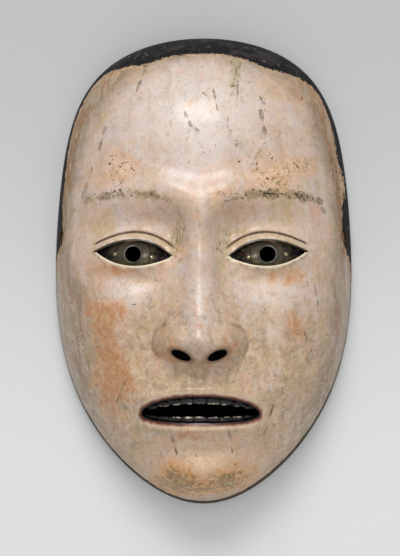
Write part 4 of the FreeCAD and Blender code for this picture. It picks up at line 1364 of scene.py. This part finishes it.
    # the paint is darker towards the rim
    paint.lay_all([
        (rim_darkening, 0.22, 0.60, 0.95, (46, 36, 30)),
        (rim_darkening, 0.30, 0.70, mottle.rise(0.50, 0.62) * 0.7, (88, 68, 50)),
        (rim_darkening, 0.30, 0.70, scuff * 0.8, (176, 150, 118)),
        (stirred(field("cord"), fine, 1.4), 1.6, 0.5, 0.9, (50, 38, 30)),
    ])

    paint.roughness = paint.mixed(middling.rise(0.35, 0.65), paint.roughness, roughness + 0.12)
    paint.emboss((fine, 0.06), (grain, 0.03), (brushed, 0.07), (crack, -0.12), (scratch, -0.10),
                 (crowd, -0.08), (stroke, -0.06), (black, 0.06))
    return paint.done()


coat = Skin()
limits = (clear_of(mouth_opening), clear_of(nostril_opening), clear_of(eye_opening), chipped_cord_hole,
          above(COAT_LIFT), lambda points: -on_the_band(points))
outside = sheet(painted_height, 0.0, *FACE_GRID, fine=[near_lines, near_edges])
inside = sheet(face_height, COAT, *COARSE_GRID, fine=[near_openings(2.0)])
loops = [coat.add_sheet(*trim(side, *limits)) for side in (outside, inside)]
coat.join(coat.rims(loops), (0, 0))
for place in (MOUTH, *NOSTRILS, *PUPILS):
    coat.bridge(loops, place)
wear_and_light = wear_and_light_maps(coat.points)
flesh, black_hair = face_paint("gofun_paint", 0.42, 0.3, 0.42), face_paint("hair_black", 0.6, 0.12, 0.0)
piece = coat.piece("face_coat_painted", [flesh, black_hair], wear_and_light)
unpolished = (wear_and_light["hair"] < 1.4) & (coat.points[:, 1] > -8) | (wear_and_light["foot"] > 0.3)
matt_faces = unpolished[[tuple(face.vertices) for face in piece.data.polygons]].all(1)
piece.data.polygons.foreach_set("material_index", matt_faces.astype(np.int32))
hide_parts("face_coat")
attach(piece, "root")

# ---------------------------------------------------------------------------------------------
# Hair band. The same coat, painted black along the crown from temple to temple, with a hole at
# each side for the cord that ties the mask on.
# ---------------------------------------------------------------------------------------------


def along_loop(points, start):
    """Share of a closed loop's length from its point nearest to a start, the way it runs."""
    first = np.linalg.norm(points - start, axis=1).argmin()
    rolled = np.roll(points, -first, axis=0)
    gaps = np.linalg.norm(np.roll(rolled, -1, axis=0) - rolled, axis=1)
    return np.roll(np.concatenate([[0], np.cumsum(gaps)[:-1]]) / gaps.sum(), first)


band = Skin()
limits = (chipped_cord_hole, above(COAT_LIFT), on_the_band)
outside, inside = sheet(painted_height, 0.0, *FACE_GRID), sheet(face_height, COAT, *COARSE_GRID)
loops = [band.add_sheet(*trim(side, *limits)) for side in (outside, inside)]
outer, inner = band.rims(loops)
corner = (half_width, BAND_END, COAT_LIFT)
band.face(wall(outer, along_loop(band.points[outer], corner), inner, along_loop(band.points[inner], corner)))
for place in CORD_HOLES:
    band.bridge(loops, place, axes=(1, 2))
piece = band.piece("crown_band_painted", [black_hair], wear_and_light_maps(band.points))
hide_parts("crown_band")
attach(piece, "root")

# ---------------------------------------------------------------------------------------------
# Camera, backdrop and lamps. The mask lies on a pale sheet under a soft light from the crown's
# side, and the camera looks straight down on it. The sheet carries painted shade: it is darker
# towards the crown's side, and dark under the mask, where it shows through the openings.
# ---------------------------------------------------------------------------------------------
FRAME_HEIGHT = 246.0
DISTANCE = 1000.0
LENS_HEIGHT = 36
AIM = np.array([-1.5, -3.1, 0.0])
LEAN = math.radians(1.8)
FLOOR_HALF, FLOOR_Z = 3, -0.0001


def placed(name, data, location, rotation):
    """A lamp or camera in the scene, in metres."""
    made = bpy.data.objects.new(name, data)
    made.location, made.rotation_euler = location, rotation
    bpy.context.scene.collection.objects.link(made)
    return made


camera_data = bpy.data.cameras.new("camera")
camera_data.sensor_fit = "VERTICAL"
camera_data.sensor_height = LENS_HEIGHT
camera_data.lens = LENS_HEIGHT * DISTANCE / FRAME_HEIGHT
spot = AIM + DISTANCE * np.array([math.sin(LEAN), 0, math.cos(LEAN)])
bpy.context.scene.camera = placed("camera", camera_data, spot * MM, (0, LEAN, 0))

floor_mesh = bpy.data.meshes.new("floor")
corners = [(x * FLOOR_HALF, y * FLOOR_HALF, FLOOR_Z) for x, y in ((-1, -1), (1, -1), (1, 1), (-1, 1))]
floor_mesh.from_pydata(corners, [], [(0, 1, 2, 3)])
floor = bpy.data.objects.new("floor", floor_mesh)
paper = Finish("paper_with_painted_shade", (186.67, 188.35, 188.35), 0.9)
# painted shade: the sheet is painted darker towards the crown's side and lighter towards the chin
apart = paper.step("ShaderNodeSeparateXYZ", paper.place)
paper.lay(Tone(apart.outputs["Y"]).rise(0.125, -0.12), (228.54, 229.83, 229.83))
# painted shade: the sheet is painted dark under the mask, where it shows through the openings
spread = [Tone(apart.outputs[axis]) * (1 / reach) for axis, reach in (("X", 0.052), ("Y", 0.085))]
shade_under_mask = worked("SQRT", spread[0] * spread[0] + spread[1] * spread[1])
paper.lay(shade_under_mask.rise(1.0, 0.85), (48.39, 48.39, 48.39))
floor_mesh.materials.append(paper.done())
bpy.context.scene.collection.objects.link(floor)

for name, place, aim_at, size, power in (
    ("top_softbox", (-0.06, 0.80, 0.84), (0, 0.02, 0), (0.55, 0.40), 7.9),
    ("front_softbox", (0.02, 0.38, 1.12), (0, 0, 0), (0.40, 0.30), 1.2),
    ("low_fill", (0.15, -0.7, 1.0), (0, 0, 0), (1.2, 0.8), 3.6),
):
    lamp_data = bpy.data.lights.new(name, "AREA")
    lamp_data.shape = "RECTANGLE"
    lamp_data.size, lamp_data.size_y = size
    lamp_data.energy = power
    placed(name, lamp_data, place, (Vector(aim_at) - Vector(place)).to_track_quat("-Z", "Y").to_euler())
world = bpy.data.worlds.new("studio")
bpy.context.scene.world = world
world.use_nodes = True
world.node_tree.nodes["Background"].inputs["Color"].default_value = (1, 1, 1, 1)
world.node_tree.nodes["Background"].inputs["Strength"].default_value = 0.36
bpy.context.scene.view_settings.view_transform = "Standard"
